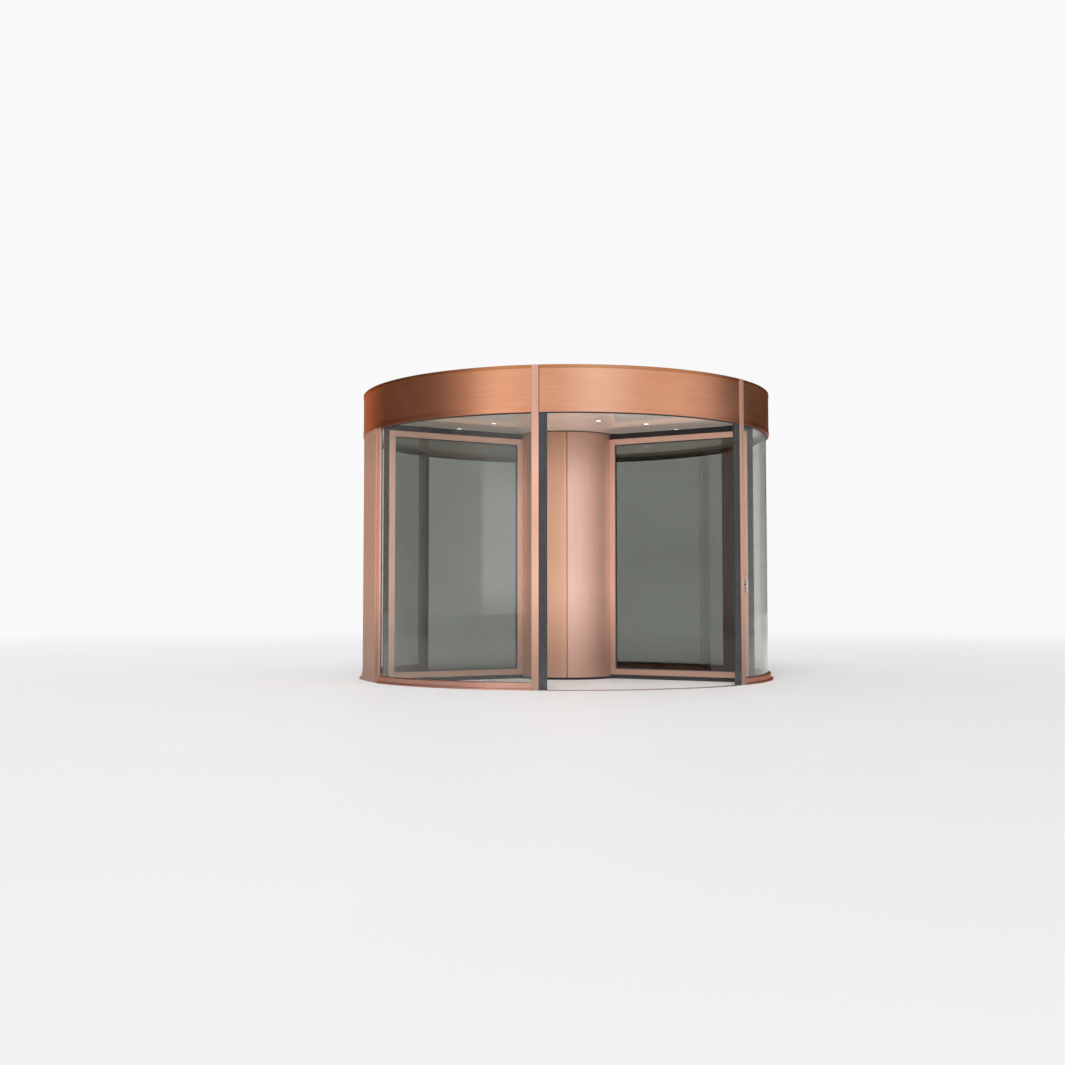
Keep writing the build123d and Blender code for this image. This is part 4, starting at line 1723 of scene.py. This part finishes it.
@dataclass(frozen=True)
class Studio:
    """Floor, lamps, surroundings and camera.

    The high lamp lights the cladding and the floor, and the low one reaches the column and
    the wings under the canopy. The one from below stands for light off the floor, which
    lets it pass.
    """

    camera_place: tuple[float, float, float] = (-5.121, -12.274, 0.766)
    yaw: float = 0.3697
    pitch: float = 0.0538
    focal: float = 1291.0
    picture: float = 1065.0
    sensor: float = 36.0
    sight: float = 200.0
    floor_half: float = 60.0
    fade: tuple[float, float] = (5.0, 24.0)
    floor_tones: tuple[Colour, Colour] = ((0.86, 0.855, 0.85), (0.90, 0.895, 0.89))
    dim_floor: Colour = (0.45, 0.44, 0.43)
    lamps: tuple[Lamp, ...] = (
        Lamp("soft_lamp", (-0.45, -0.75, 1.0), 1.4, 35.0),
        Lamp("low_lamp", (-0.34, -0.93, 0.13), 1.08, 24.0),
        Lamp("bounce_lamp", (0.0, -0.1, -1.0), 0.9, 60.0),
    )
    front_bearing: float = -6.0
    dark_left: Colour = (0.060, 0.028, 0.022)
    dark_right: Colour = (0.050, 0.045, 0.048)
    dusk: Colour = (0.91, 0.60, 0.45)
    daylight: Colour = (0.91, 0.91, 0.91)
    glare: Colour = (1.24, 1.60, 1.95)
    panel_bearing: float = -58.0
    panel_power: float = 2.8
    matt_light: Colour = (0.66, 0.66, 0.67)

    def build(self) -> None:
        """Sets up the studio."""
        scene = bpy.context.scene
        scene.view_settings.view_transform = "Standard"
        self.floor(scene)
        self.world(scene)
        for lamp in self.lamps:
            lamp.light(scene)
        self.camera(scene)

    def camera(self, scene: bpy.types.Scene) -> None:
        """The camera at the fitted place. Its lens is the focal length in pixels over the picture's.

        Args:
            scene: the scene.
        """
        data = bpy.data.cameras.new("camera")
        data.sensor_width = self.sensor
        data.lens = self.focal * self.sensor / self.picture
        data.clip_end = self.sight
        camera = bpy.data.objects.new("camera", data)
        camera.location = self.camera_place
        camera.rotation_euler = (math.pi / 2 + self.pitch, 0.0, -self.yaw)
        scene.collection.objects.link(camera)
        scene.camera = camera

    def floor(self, scene: bpy.types.Scene) -> None:
        """A wide pale floor that fades into the backdrop far from the door.

        In rays that metal mirrors it fades into a dimmer tone instead.

        Args:
            scene: the scene.
        """
        signs = ((-1, -1), (1, -1), (1, 1), (-1, 1))
        mesh = bpy.data.meshes.new("studio_floor")
        corners = [(x * self.floor_half, y * self.floor_half, 0) for x, y in signs]
        mesh.from_pydata(corners, [], [(0, 1, 2, 3)])
        material = bpy.data.materials.new("studio_floor")
        material.use_nodes = True
        sheet = NodeSheet(material.node_tree)
        place = sheet.object_place()
        colour = sheet.blend(sheet.noise(place, 0.6, 3.0), *self.floor_tones)
        shader = sheet.node("ShaderNodeBsdfPrincipled", {}, {"Base Color": colour, "Roughness": 0.55})
        far = sheet.blend(sheet.ray("Glossy") * (1 - sheet.ray("Transmission")), BACKDROP, self.dim_floor)
        glow = sheet.node("ShaderNodeEmission", {}, {"Color": far, "Strength": 1.0})
        distance = sheet.vector("LENGTH", place, out="Value")
        mixed = sheet.node("ShaderNodeMixShader", {}, {0: distance.rise(*self.fade), 1: shader, 2: glow})
        sheet.node("ShaderNodeOutputMaterial", {}, {"Surface": mixed})
        mesh.materials.append(material)
        floor = bpy.data.objects.new("studio_floor", mesh)
        scene.collection.objects.link(floor)
        floor.visible_shadow = False

    def mirrored(self, sheet: NodeSheet) -> Value:
        """What metal mirrors of the surroundings.

        Each part of the light is a smooth step of the cosine between the ray's level part
        and a bearing, or of the ray's rise. It is full within 56 degrees of the front and
        gone at 87, weaker behind and overhead, and weaker still along the horizon. It is
        warm on the left. A cool glare lies within 18 degrees of the front, and a bright low
        panel to its left. The rest is a dark room.

        Args:
            sheet: the world's nodes.

        Returns:
            The colour.
        """
        direction = sheet.node("ShaderNodeTexCoord", {}, {}, "Generated")
        level = sheet.vector("NORMALIZE", sheet.vector("MULTIPLY", direction, (1, 1, 0)))
        front, back, panel = (
            sheet.vector("DOT_PRODUCT", level, tuple(polar(1.0, bearing, 0.0)), out="Value")
            for bearing in (self.front_bearing, 180.0, self.panel_bearing)
        )
        rise = sheet.node("ShaderNodeSeparateXYZ", {}, {0: direction}, 2)
        horizon = (1 - rise.rise(-0.03, 0.09)) * (front.rise(-0.6, 0.3) * 0.5 + 0.2)
        overhead = rise.rise(0.40, 0.80) * 0.9
        light = front.rise(0.05, 0.56).larger(back.rise(0.80, 0.99) * 0.6).larger(overhead).larger(horizon)
        right = sheet.node("ShaderNodeSeparateXYZ", {}, {0: level}).rise(-0.5, 0.4)
        shade = sheet.blend(right, self.dark_left, self.dark_right)
        seen = sheet.blend(light, shade, sheet.blend(light.larger(right), self.dusk, self.daylight))
        seen = sheet.blend(front.rise(0.95, 1.0), seen, self.glare)
        panel = panel.rise(0.975, 0.992) * rise.rise(-0.02, 0.02) * (1 - rise.rise(0.07, 0.13))
        return sheet.blend(panel, seen, (self.panel_power,) * 3)

    def world(self, scene: bpy.types.Scene) -> None:
        """Surroundings that metal mirrors, an even light on matt faces, and a plain backdrop.

        The backdrop is what is seen straight or through glass.

        Args:
            scene: the scene.
        """
        world = bpy.data.worlds.new("studio")
        world.use_nodes = True
        scene.world = world
        sheet = NodeSheet(world.node_tree)
        around = sheet.blend(sheet.ray("Glossy"), self.matt_light, self.mirrored(sheet))
        straight = sheet.ray("Camera").larger(sheet.ray("Transmission"))
        colour = sheet.blend(straight, around, BACKDROP)
        shader = sheet.node("ShaderNodeBackground", {}, {"Color": colour, "Strength": 1.0})
        sheet.node("ShaderNodeOutputWorld", {}, {"Surface": shader})


def main() -> None:
    """Builds the sub-assemblies in order, then the studio."""
    logging.basicConfig(level=logging.INFO, format="%(message)s")
    assemblies = [Canopy("drum"), Walls("drum"), KeySwitch("drum"), Gear("drum"), Column("rotor")]
    assemblies += [Wing("rotor", number=n, bearing=b) for n, b in enumerate(WING_BEARINGS, 1)]
    for assembly in assemblies:
        assembly.build()
        report.info("%s: %d pieces", type(assembly).__name__, len(assembly.made))
    Studio().build()


if __name__ == "__main__":
    main()
